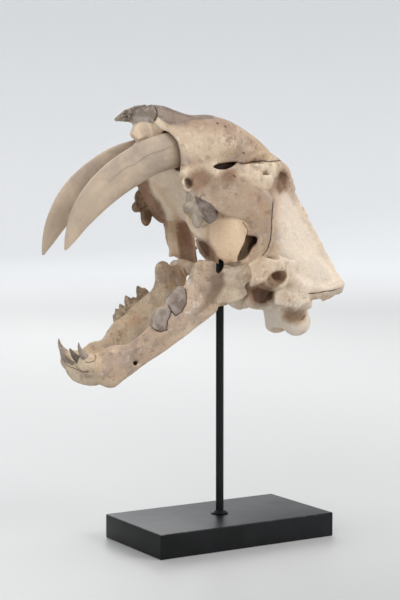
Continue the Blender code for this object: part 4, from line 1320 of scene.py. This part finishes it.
class Wiring:
    """Short calls to add nodes to a tree."""

    def __init__(self, tree):
        self.tree = tree

    def add(self, kind, settings=None, **inputs):
        node = self.tree.nodes.new(kind)
        for word, value in (settings or {}).items():
            setattr(node, word, value)
        for word, value in inputs.items():
            self.set(node, word.replace("_", " "), value)
        return node

    def set(self, node, word, value):
        socket = node.inputs[int(word[1:])] if word[0] == "i" and word[1:].isdigit() else node.inputs[word]
        if isinstance(value, bpy.types.NodeSocket):
            self.tree.links.new(value, socket)
        else:
            socket.default_value = value

    def math(self, operation, a, b=0.0, clamp=False):
        node = self.add("ShaderNodeMath", {"operation": operation, "use_clamp": clamp}, i0=a, i1=b)
        return node.outputs[0]

    def times(self, a, b, clamp=False):
        return self.math("MULTIPLY", a, b, clamp)

    def plus(self, a, b, clamp=False):
        return self.math("ADD", a, b, clamp)

    def less(self, a, b):
        return self.math("SUBTRACT", a, b)

    def lay(self, colour, mask, share, tint):
        """A colour with a tint over it where a mask is, up to a share."""
        return self.mix(self.times(mask, share), colour, tint)

    def mix(self, share, a, b):
        node = self.add("ShaderNodeMix", {"data_type": "RGBA", "clamp_factor": True})
        self.set(node, "i0", share)
        self.set(node, "i6", a)
        self.set(node, "i7", b)
        return node.outputs[2]

    def step(self, value, low, high):
        node = self.add("ShaderNodeMapRange", {"interpolation_type": "SMOOTHSTEP"}, Value=value)
        node.inputs["From Min"].default_value = low
        node.inputs["From Max"].default_value = high
        return node.outputs["Result"]

    def noise(self, place, scale, detail=3.0, rough=0.5):
        made = self.add("ShaderNodeTexNoise", Vector=place, Scale=scale, Detail=detail,
                        Roughness=rough)
        return made.outputs["Fac"]

    def attribute(self, word):
        return self.add("ShaderNodeAttribute", {"attribute_name": word}).outputs["Fac"]


def new_tree(name, inputs, outputs, kind="ShaderNodeTree"):
    """A tree with its sockets, as tree, wiring, what it is given and its output node."""
    tree = bpy.data.node_groups.new(name, kind)
    for word, sort, value in inputs:
        socket = tree.interface.new_socket(word, in_out="INPUT", socket_type="NodeSocket" + sort)
        if value is not None:
            socket.default_value = value
    for word, sort in outputs:
        tree.interface.new_socket(word, in_out="OUTPUT", socket_type="NodeSocket" + sort)
    w = Wiring(tree)
    return tree, w, w.add("NodeGroupInput").outputs, w.add("NodeGroupOutput")


def mottle_group():
    """Soft patches of two colours."""
    tree, w, given, out = new_tree("mottle", (
        ("Place", "Vector", None), ("Scale", "Float", 30.0),
        ("First", "Color", None), ("Second", "Color", None), ("Contrast", "Float", 0.5),
    ), (("Color", "Color"), ("Mask", "Float")))
    place = given["Place"]
    large = w.add("ShaderNodeTexNoise", Vector=place, Scale=given["Scale"], Detail=4.0,
                  Roughness=0.62, Distortion=0.4).outputs["Fac"]
    lifted = w.less(large, 0.5)
    gain = w.plus(w.times(given["Contrast"], 8.0), 1.0)
    mask = w.plus(w.times(lifted, gain), 0.5, clamp=True)
    w.set(out, "Mask", mask)
    w.set(out, "Color", w.mix(mask, given["First"], given["Second"]))
    return tree


def grain_group():
    """Pores, grit and soft dents as a height and a mask of dark specks."""
    tree, w, given, out = new_tree("bone grain", (
        ("Place", "Vector", None), ("Scale", "Float", 900.0),
        ("Coarse", "Float", 0.0),
    ), (("Height", "Float"), ("Specks", "Float")))
    place = given["Place"]
    grit = w.add("ShaderNodeTexNoise", Vector=place, Scale=given["Scale"], Detail=5.0,
                 Roughness=0.7).outputs["Fac"]
    dents = w.noise(place, 140.0, 3.0)
    cells = w.add("ShaderNodeTexVoronoi", {"feature": "F1"}, Vector=place, Scale=420.0, Randomness=1.0)
    holes = w.step(cells.outputs["Distance"], 0.32, 0.12)
    where = w.step(w.noise(place, 60.0, 4.0), 0.56, 0.70)
    wanted = w.math("MAXIMUM", where, given["Coarse"])
    specks = w.times(holes, wanted)
    height = w.plus(w.times(grit, 0.45), w.times(dents, 0.8))
    height = w.less(height, w.times(specks, 0.7))
    w.set(out, "Height", height)
    w.set(out, "Specks", specks)
    return tree


def crack_group():
    """A wandering dark line where a stored distance is near nothing."""
    tree, w, given, out = new_tree("crack line", (
        ("Place", "Vector", None), ("Distance", "Float", 1.0),
        ("Side", "Float", 1.0), ("Width", "Float", 0.06),
    ), (("Mask", "Float"), ("Halo", "Float")))
    wander = w.times(w.less(w.noise(given["Place"], 260.0, 4.0, 0.6), 0.5), 0.30)
    line = w.math("ABSOLUTE", w.plus(given["Side"], wander))
    vary = w.plus(0.35, w.times(w.noise(given["Place"], 120.0, 2.0), 1.3))
    sharp = w.math("DIVIDE", line, w.times(given["Width"], vary))
    close = w.step(given["Distance"], 0.34, 0.20)
    w.set(out, "Mask", w.times(w.step(sharp, 1.3, 0.6), close))
    w.set(out, "Halo", w.step(given["Distance"], 0.45, 0.02))
    return tree


def edge_wear_group():
    """Chips along the edges of a block, from the distance to its edges."""
    tree, w, given, out = new_tree("edge chips", (
        ("Place", "Vector", None), ("Edge", "Float", 0.0),
        ("Amount", "Float", 0.5),
    ), (("Mask", "Float"),))
    chips = w.noise(given["Place"], 900.0, 4.0, 0.65)
    runs = w.noise(given["Place"], 70.0, 2.0)
    both = w.plus(chips, w.times(w.less(runs, 0.5), 0.6))
    high = w.step(both, 0.66, 0.74)
    w.set(out, "Mask", w.times(w.times(high, given["Edge"]), given["Amount"]))
    return tree


GROUPS = {}


def group(w, name, **inputs):
    """Place a shared group in a material."""
    node = w.tree.nodes.new("ShaderNodeGroup")
    node.node_tree = GROUPS[name]
    for word, value in inputs.items():
        w.set(node, word, value)
    return node


def start_material(name):
    made = bpy.data.materials.new(name)
    made.use_nodes = True
    w = Wiring(made.node_tree)
    shader = made.node_tree.nodes["Principled BSDF"]
    place = w.add("ShaderNodeTexCoord").outputs["Object"]
    return made, w, shader, place


BONE_CREAM = linear(226, 207, 178)
BONE_TAN = linear(206, 181, 150)
BONE_PINK = linear(208, 174, 152)
BONE_GREY = linear(172, 154, 140)
BONE_ORANGE = linear(212, 174, 132)
BONE_PALE = linear(248, 236, 220)
BONE_DUSK = linear(122, 92, 70)
BONE_LINE = linear(150, 122, 104)
GREY_PATCH = linear(152, 142, 136)
GREY_DARK = linear(100, 88, 82)
PLASTER_CREAM = linear(250, 232, 204)
PEACH = linear(250, 224, 192)
CHAR = linear(42, 36, 28)
# brown of real stains and pores, also used for painted shade in hollows
STAIN_AND_SHADE = linear(112, 78, 54)
HOLLOW_DARK = linear(52, 32, 22)


def bone_material():
    made, w, shader, place = start_material("fossil_bone")
    base = group(w, "mottle", Place=place, Scale=26.0, First=BONE_TAN, Second=BONE_CREAM, Contrast=0.5)
    colour = base.outputs["Color"]
    for shift, scale, low, high, share, tint in (
        ((0.0, 0.0, 0.0), 16.0, 0.44, 0.62, 0.55, BONE_PINK),
        ((3.1, 1.7, 0.4), 34.0, 0.48, 0.64, 0.70, BONE_GREY),
        ((0.3, 5.7, 2.4), 42.0, 0.56, 0.68, 0.65, BONE_ORANGE),
        ((2.2, 0.9, 6.1), 100.0, 0.54, 0.70, 0.60, BONE_DUSK),
        ((5.2, 3.9, 1.1), 150.0, 0.56, 0.70, 0.50, BONE_PALE),
        ((1.2, 8.9, 3.3), 330.0, 0.56, 0.70, 0.35, BONE_DUSK),
    ):
        moved = w.add("ShaderNodeVectorMath", {"operation": "ADD"}, i0=place, i1=shift).outputs[0]
        patch = w.step(w.noise(moved, scale, 4.0, 0.6), low, high)
        colour = w.lay(colour, patch, share, tint)
    warp = w.add("ShaderNodeTexNoise", Vector=place, Scale=90.0, Detail=3.0).outputs["Color"]
    warped = w.mix(0.025, place, warp)
    web = w.add("ShaderNodeTexVoronoi", {"feature": "DISTANCE_TO_EDGE"}, Vector=warped, Scale=75.0)
    hair = w.times(w.step(web.outputs["Distance"], 0.035, 0.008),
                  w.step(w.noise(place, 45.0, 3.0), 0.50, 0.62))
    colour = w.lay(colour, hair, 0.45, BONE_LINE)

    plaster = w.attribute("plaster")
    edge_noise = w.times(w.less(w.noise(place, 160.0, 4.0), 0.5), 0.5)
    ragged_plaster = w.step(w.plus(plaster, edge_noise), 0.35, 0.60)
    cream = group(w, "mottle", Place=place, Scale=60.0, First=PLASTER_CREAM, Second=linear(230, 204, 172),
                  Contrast=0.35)
    colour = w.lay(colour, ragged_plaster, 0.85, cream.outputs["Color"])
    colour = w.mix(w.attribute("peach"), colour, PEACH)
    # brown: real stain, and painted shade on inner surfaces turned from the lamps
    brown = w.plus(w.attribute("brown"), w.times(edge_noise, w.attribute("brown")))
    stain = group(w, "mottle", Place=place, Scale=90.0, First=STAIN_AND_SHADE, Second=linear(146, 106, 76),
                  Contrast=0.5)
    colour = w.mix(w.times(brown, 0.85, clamp=True), colour, stain.outputs["Color"])
    grey = w.step(w.plus(w.attribute("grey"), edge_noise), 0.35, 0.62)
    greys = group(w, "mottle", Place=place, Scale=80.0, First=GREY_DARK, Second=GREY_PATCH, Contrast=0.7)
    colour = w.lay(colour, grey, 0.88, greys.outputs["Color"])
    # painted light and painted shade: "tone" above 0 paints the bone paler, below 0 duskier
    tone = w.attribute("tone")
    painted_light_zone = w.math("MAXIMUM", tone, 0.0)
    painted_shade_zone = w.math("MAXIMUM", w.times(tone, -1.0), 0.0)
    colour = w.lay(colour, painted_light_zone, 0.55, BONE_PALE)
    colour = w.lay(colour, painted_shade_zone, 0.72, BONE_DUSK)
    burnt = w.times(w.attribute("char"), w.step(w.noise(place, 380.0, 5.0, 0.7), 0.40, 0.54))
    colour = w.lay(colour, burnt, 0.9, CHAR)
    ochre = w.times(w.attribute("char"), w.step(w.noise(place, 520.0, 3.0, 0.6), 0.56, 0.66))
    colour = w.lay(colour, ochre, 0.55, linear(170, 148, 92))

    grain = group(w, "bone grain", Place=place, Scale=900.0, Coarse=w.attribute("porous"))
    colour = w.lay(colour, grain.outputs["Specks"], 0.55, STAIN_AND_SHADE)
    fine = w.step(w.noise(place, 420.0, 4.0, 0.65), 0.3, 0.75)
    colour = w.lay(colour, w.less(1.0, fine), 0.22, BONE_GREY)

    # painted shade: hollows darken towards brown by how closed in they are, less on plaster and the peach
    # wall
    shelter = w.attribute("shelter")
    hollow_shade = w.step(w.plus(shelter, w.times(edge_noise, 0.3)), 0.42, 0.80)
    shade_free = w.math("MAXIMUM", w.attribute("peach"), w.times(plaster, 0.9))
    hollow_shade = w.times(hollow_shade, w.less(1.0, w.times(shade_free, 0.85)))
    colour = w.lay(colour, hollow_shade, 0.6, STAIN_AND_SHADE)
    # painted shade: the deepest hollows are painted near black
    deep = w.step(shelter, 0.78, 0.98)
    deep = w.times(deep, w.less(1.0, w.attribute("peach")))
    colour = w.lay(colour, deep, 0.8, HOLLOW_DARK)
    worn = w.step(w.attribute("roundness"), 0.60, 0.85)
    colour = w.lay(colour, worn, 0.25, BONE_CREAM)
    crack = group(w, "crack line", Place=place, Distance=w.attribute("crack"),
                  Side=w.attribute("crack_side"), Width=0.085)
    colour = w.lay(colour, crack.outputs["Halo"], 0.22, STAIN_AND_SHADE)
    colour = w.lay(colour, crack.outputs["Mask"], 0.92, HOLLOW_DARK)
    w.set(shader, "Base Color", colour)
    rough = w.less(0.74, w.times(worn, 0.12))
    w.set(shader, "Roughness", w.plus(rough, w.times(hollow_shade, 0.12)))
    height = w.less(grain.outputs["Height"], w.times(crack.outputs["Mask"], 1.5))
    bump = w.add("ShaderNodeBump", Strength=0.55, Distance=0.0006, Height=height)
    w.set(shader, "Normal", bump.outputs["Normal"])
    shader.inputs["Specular IOR Level"].default_value = 0.35
    return made


def sabre_material():
    """Grey-cream ivory with streaks that run down the tooth."""
    made, w, shader, place = start_material("sabre_ivory")
    along = w.attribute("along")
    around = w.attribute("around")
    lanes = w.add("ShaderNodeCombineXYZ", X=around, Y=w.times(along, 0.16), Z=0.0).outputs["Vector"]
    streaks = w.noise(lanes, 26.0, 6.0, 0.62)
    broad = w.noise(lanes, 7.0, 3.0, 0.5)
    base = group(w, "mottle", Place=place, Scale=30.0, First=linear(168, 150, 134),
                 Second=linear(198, 177, 154), Contrast=0.45)
    colour = w.mix(w.times(w.step(streaks, 0.42, 0.66), 0.22), base.outputs["Color"],
                   linear(156, 144, 124))
    colour = w.lay(colour, w.step(broad, 0.5, 0.72), 0.5, linear(212, 186, 158))
    low = w.step(along, 0.45, 0.95)
    colour = w.lay(colour, low, 0.4, linear(214, 192, 164))
    spots = w.step(w.noise(place, 130.0, 4.0, 0.6), 0.58, 0.72)
    colour = w.lay(colour, spots, 0.25, linear(150, 134, 116))
    hair = w.step(w.noise(lanes, 90.0, 2.0, 0.5), 0.68, 0.74)
    colour = w.lay(colour, hair, 0.14, linear(120, 98, 74))
    drift = w.times(w.less(w.noise(place, 40.0, 3.0), 0.5), 0.10)
    half_turn = w.math("MODULO", w.plus(around, w.plus(drift, 0.5)), 0.5)
    seam = w.math("ABSOLUTE", w.less(half_turn, 0.045))
    length = w.times(w.step(along, 0.20, 0.26), w.step(along, 0.66, 0.50))
    seam = w.times(w.step(seam, 0.006, 0.002), length)
    colour = w.lay(colour, seam, 0.55, linear(104, 82, 62))
    root = w.step(along, 0.30, 0.20)
    colour = w.lay(colour, root, 0.5, linear(150, 124, 96))
    w.set(shader, "Base Color", colour)
    w.set(shader, "Roughness", w.plus(0.42, w.times(streaks, 0.22)))
    height = w.plus(w.times(streaks, 0.7), w.times(w.noise(place, 700.0, 4.0), 0.3))
    bump = w.add("ShaderNodeBump", Strength=0.35, Distance=0.0005, Height=height)
    w.set(shader, "Normal", bump.outputs["Normal"])
    return made


# Name, light and dark colour, and stain
TOOTH_FINISHES = (
    ("grey_tooth", linear(176, 162, 146), linear(140, 126, 112), linear(92, 72, 54)),
    # painted shade: a darker copy of the grey tooth, for the front tooth that sits in shade
    ("shaded_tooth", linear(120, 106, 92), linear(72, 62, 52), linear(36, 30, 26)),
    ("pitted_tooth", linear(196, 178, 152), linear(128, 106, 82), linear(44, 34, 28)),
    ("brown_tooth", linear(152, 126, 98), linear(98, 72, 50), linear(48, 36, 28)),
)


def tooth_material(name, light, dark, stain):
    """Stained enamel with dark spots."""
    made, w, shader, place = start_material(name)
    base = group(w, "mottle", Place=place, Scale=90.0, First=dark, Second=light, Contrast=0.5)
    fine = w.noise(place, 500.0, 4.0, 0.6)
    colour = w.mix(w.times(w.step(fine, 0.45, 0.7), 0.3), base.outputs["Color"], light)
    spots = w.step(w.noise(place, 180.0, 4.0, 0.6), 0.55, 0.68)
    colour = w.lay(colour, spots, 0.6, stain)
    grain = group(w, "bone grain", Place=place, Scale=1500.0, Coarse=0.0)
    colour = w.lay(colour, grain.outputs["Specks"], 0.4, stain)
    w.set(shader, "Base Color", colour)
    w.set(shader, "Roughness", w.plus(0.38, w.times(fine, 0.3)))
    bump = w.add("ShaderNodeBump", Strength=0.4, Distance=0.0004, Height=grain.outputs["Height"])
    w.set(shader, "Normal", bump.outputs["Normal"])
    return made


def stand_material():
    """Satin black paint with chipped edges and fine dust."""
    made, w, shader, place = start_material("stand_paint")
    edge = w.attribute("edge")
    chips = group(w, "edge chips", Place=place, Edge=edge, Amount=1.0)
    tone = group(w, "mottle", Place=place, Scale=30.0, First=linear(17, 18, 19), Second=linear(24, 25, 27),
                 Contrast=0.4)
    dust = w.step(w.noise(place, 1600.0, 3.0, 0.7), 0.66, 0.78)
    colour = w.mix(w.times(dust, 0.12), tone.outputs["Color"], linear(120, 120, 120))
    colour = w.mix(chips.outputs["Mask"], colour, linear(190, 188, 184))
    w.set(shader, "Base Color", colour)
    smear = w.noise(place, 22.0, 5.0, 0.6)
    w.set(shader, "Roughness", w.plus(0.26, w.times(smear, 0.18)))
    shader.inputs["Specular IOR Level"].default_value = 0.2
    peel = w.noise(place, 1100.0, 3.0, 0.5)
    height = w.less(w.times(peel, 0.3), chips.outputs["Mask"])
    bump = w.add("ShaderNodeBump", Strength=0.25, Distance=0.0003, Height=height)
    w.set(shader, "Normal", bump.outputs["Normal"])
    return made


# Stand

def finish_base(paint):
    """The block, with rounded edges and a stored closeness to them."""
    size = np.array(BASE_SIZE) * MM
    bm = bmesh.new()
    place = Matrix.Translation((0, 0, size[2] / 2)) @ Matrix.Diagonal((*size, 1.0))
    bmesh.ops.create_cube(bm, size=1.0, matrix=place)
    bmesh.ops.bevel(bm, geom=list(bm.edges), offset=BASE_EDGE * MM, segments=5, profile=0.5, affect="EDGES")
    mesh = bpy.data.meshes.new("base_block")
    bm.to_mesh(mesh)
    bm.free()
    points = np.zeros(len(mesh.vertices) * 3, np.float32)
    mesh.vertices.foreach_get("co", points)
    points = points.reshape(-1, 3)
    inset = np.stack((size[0] / 2 - np.abs(points[:, 0]), size[1] / 2 - np.abs(points[:, 1]),
                      np.minimum(points[:, 2], size[2] - points[:, 2])), axis=1)
    close = np.sort(inset, axis=1)[:, 1]
    edge = mesh.attributes.new("edge", "FLOAT", "POINT")
    edge.data.foreach_set("value", smoothstep(BASE_EDGE * MM * 1.02, 0.0, close).astype(np.float32))
    mesh.shade_smooth()
    mesh.set_sharp_from_angle(angle=math.radians(40))
    mesh.materials.append(paint)
    return put("base_block", mesh)


def lathe(profile, sides, closed=False):
    """Points and quads of a profile of (radius, height) turned about z."""
    angles = np.arange(sides) * 2 * math.pi / sides
    rings = [np.stack((radius * np.cos(angles), radius * np.sin(angles), np.full(sides, height)), axis=1)
             for radius, height in profile]
    quads = []
    for i in range(len(profile) - (not closed)):
        j = (i + 1) % len(profile)
        for a in range(sides):
            b = (a + 1) % sides
            quads.append((i * sides + a, i * sides + b, j * sides + b, j * sides + a))
    return np.vstack(rings), np.array(quads)


def turned(name, profile, paint, closed=False):
    """A turned piece from a profile in millimetres, closed on itself if it has a bore."""
    points, quads = lathe(profile, 72, closed)
    thing = add_mesh(name, points * MM, quads, {"edge": np.zeros(len(points))})
    bm = bmesh.new()
    bm.from_mesh(thing.data)
    bmesh.ops.remove_doubles(bm, verts=bm.verts, dist=0.000005)
    bmesh.ops.recalc_face_normals(bm, faces=bm.faces)
    bm.to_mesh(thing.data)
    bm.free()
    thing.data.shade_smooth()
    thing.data.set_sharp_from_angle(angle=math.radians(40))
    thing.data.materials.append(paint)
    return thing


def finish_rod(paint):
    radius = ROD_RADIUS
    profile = ((0.001, FOOT), (radius - CHAMFER, FOOT), (radius, FOOT + CHAMFER),
               (radius, ROD_TOP - 2 * CHAMFER), (radius - 2 * CHAMFER, ROD_TOP), (0.001, ROD_TOP))
    return turned("rod", profile, paint)


def finish_collar(paint):
    bore = ROD_RADIUS + TOUCH_GAP
    top = FOOT + COLLAR_HEIGHT
    profile = ((bore, FOOT), (COLLAR_RADIUS - 0.2, FOOT), (COLLAR_RADIUS, FOOT + CHAMFER),
               (COLLAR_RADIUS, FOOT + 0.8), (COLLAR_RADIUS - 0.5, FOOT + 1.3),
               (COLLAR_RADIUS - 2.2, FOOT + 2.4), (bore + 1.6, top), (bore + CHAMFER, top),
               (bore, top - CHAMFER))
    return turned("collar", profile, paint, closed=True)


# Room

def make_room():
    """A pale bowl for floor and background, soft lights and the camera."""
    scene = bpy.context.scene
    profile = [(radius, 0.0) for radius in (0.001, 0.4, 0.8, 1.6, FLOOR_RADIUS)]
    for step in range(1, 13):
        angle = math.radians(90 * step / 12)
        profile.append((FLOOR_RADIUS + BEND_RADIUS * math.sin(angle), BEND_RADIUS * (1 - math.cos(angle))))
    profile.append((FLOOR_RADIUS + BEND_RADIUS, WALL_TOP))
    points, quads = lathe(profile, 96)
    bowl = add_mesh("floor", points, quads[:, ::-1])
    made, w, shader, place = start_material("floor_paper")
    rise = w.add("ShaderNodeSeparateXYZ", Vector=place).outputs["Z"]
    wall = w.step(rise, 0.0, 0.12)
    glow = w.times(wall, w.plus(0.14, w.times(w.step(rise, 1.2, 0.2), 0.12)))
    # painted light: the floor glows more towards +x, so one side of it is lighter
    across = w.add("ShaderNodeSeparateXYZ", Vector=place).outputs["X"]
    floor_light_slope = w.times(w.step(across, -0.4, 1.0), 0.42)
    glow = w.plus(glow, w.times(w.less(1.0, wall), w.plus(0.01, floor_light_slope)))
    shade = w.mix(wall, linear(186, 186, 185), linear(230, 231, 232))
    w.set(shader, "Base Color", shade)
    w.set(shader, "Emission Color", shade)
    w.set(shader, "Emission Strength", glow)
    shader.inputs["Roughness"].default_value = 0.42
    shader.inputs["Specular IOR Level"].default_value = 0.3
    bowl.data.materials.append(made)

    world = bpy.data.worlds.new("studio")
    world.use_nodes = True
    sky = world.node_tree.nodes["Background"].inputs
    sky["Color"].default_value = linear(238, 241, 246)
    sky["Strength"].default_value = 0.62
    scene.world = world

    for name, place, size, power, colour in LIGHTS:
        lamp = bpy.data.lights.new(name, "AREA")
        lamp.shape = "DISK"
        lamp.size = size
        lamp.energy = power
        lamp.color = colour
        holder = put(name, lamp)
        holder.location = place
        holder.rotation_euler = (LIGHT_AIM - Vector(place)).to_track_quat("-Z", "Y").to_euler()

    eye = bpy.data.cameras.new("camera")
    eye.lens = LENS
    eye.sensor_width = SENSOR
    holder = put("camera", eye)
    turn = Matrix((VIEW_RIGHT, VIEW_UP, VIEW_BACK)).transposed().to_4x4()
    holder.matrix_world = Matrix.Translation(CAMERA_PLACE) @ turn
    scene.camera = holder
    scene.view_settings.view_transform = "Standard"


def keep(thing, slot, *nodes):
    """Put a finished piece on the frame in place of its CAD nodes."""
    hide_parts(*nodes)
    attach(thing, "root")


def main():
    clear_default_objects()
    make_room()
    for tree in (mottle_group(), grain_group(), crack_group(), edge_wear_group()):
        GROUPS[tree.name] = tree
    bone = bone_material()
    ivory = sabre_material()
    grey_tooth, shaded_tooth, pitted_tooth, brown_tooth = [tooth_material(*row) for row in TOOTH_FINISHES]
    paint = stand_material()

    cranium = finish_cranium()
    cranium.data.materials.append(bone)
    keep(cranium, "bone", "cranium")
    jaw = finish_jaw()
    jaw.data.materials.append(bone)
    keep(jaw, "bone", "mandible")

    tree = tooth_tree()
    for word, side in (("left", -1), ("right", 1)):
        sabre = finish_swept_tooth(f"sabre_{word}", sabre_path(side), SKULL, tree, ivory,
                                   Thickness_Share=SABRE[1], Groove_Depth=0.0010, Grooves=1.5, Rings=150,
                                   Sides=72, Seed=3 + side)
        keep(sabre, "sabre", f"upper_canine_{word}")
        path = LOWER_CANINE if side < 0 else mirrored(LOWER_CANINE)
        canine = finish_swept_tooth(f"lower_fang_{word}", path, JAW, tree, grey_tooth, Thickness_Share=0.85,
                                    Groove_Depth=0.0005, Grooves=3.0, Rings=40, Sides=32, Seed=9 + side)
        keep(canine, "tooth", f"lower_canine_{word}")
        enamel = grey_tooth if side < 0 else brown_tooth
        blade = finish_cheek_tooth(f"upper_shear_{word}", UPPER_BLADE, side, SKULL)
        blade.data.materials.append(enamel)
        keep(blade, "tooth", f"upper_carnassial_{word}")
        for shape, name, node in ((LOWER_BLADE, "lower_shear", "lower_carnassial"),
                                  (LOWER_SMALL, "lower_small", "lower_premolar")):
            tooth = finish_cheek_tooth(f"{name}_{word}", shape, side, JAW)
            tooth.data.materials.append(grey_tooth if side < 0 else pitted_tooth)
            keep(tooth, "tooth", f"{node}_{word}")
    small = finish_cheek_tooth("upper_small_right", UPPER_SMALL, 1, SKULL)
    small.data.materials.append(brown_tooth)
    keep(small, "tooth", "upper_premolar_right")
    for index, path in enumerate(INCISORS, 1):
        # the first front tooth takes the shaded copy: painted shade
        enamel = shaded_tooth if index == 1 else grey_tooth
        tooth = finish_swept_tooth(f"front_tooth_{index}", path, JAW, tree, enamel, Thickness_Share=0.9,
                                   Groove_Depth=0.0004, Grooves=3.0, Rings=32, Sides=24, Seed=20 + index)
        keep(tooth, "tooth", f"lower_incisor_{index}")

    keep(finish_base(paint), "stand_black", "stand_base")
    keep(finish_rod(paint), "stand_black", "stand_rod")
    keep(finish_collar(paint), "stand_black", "rod_collar")


main()
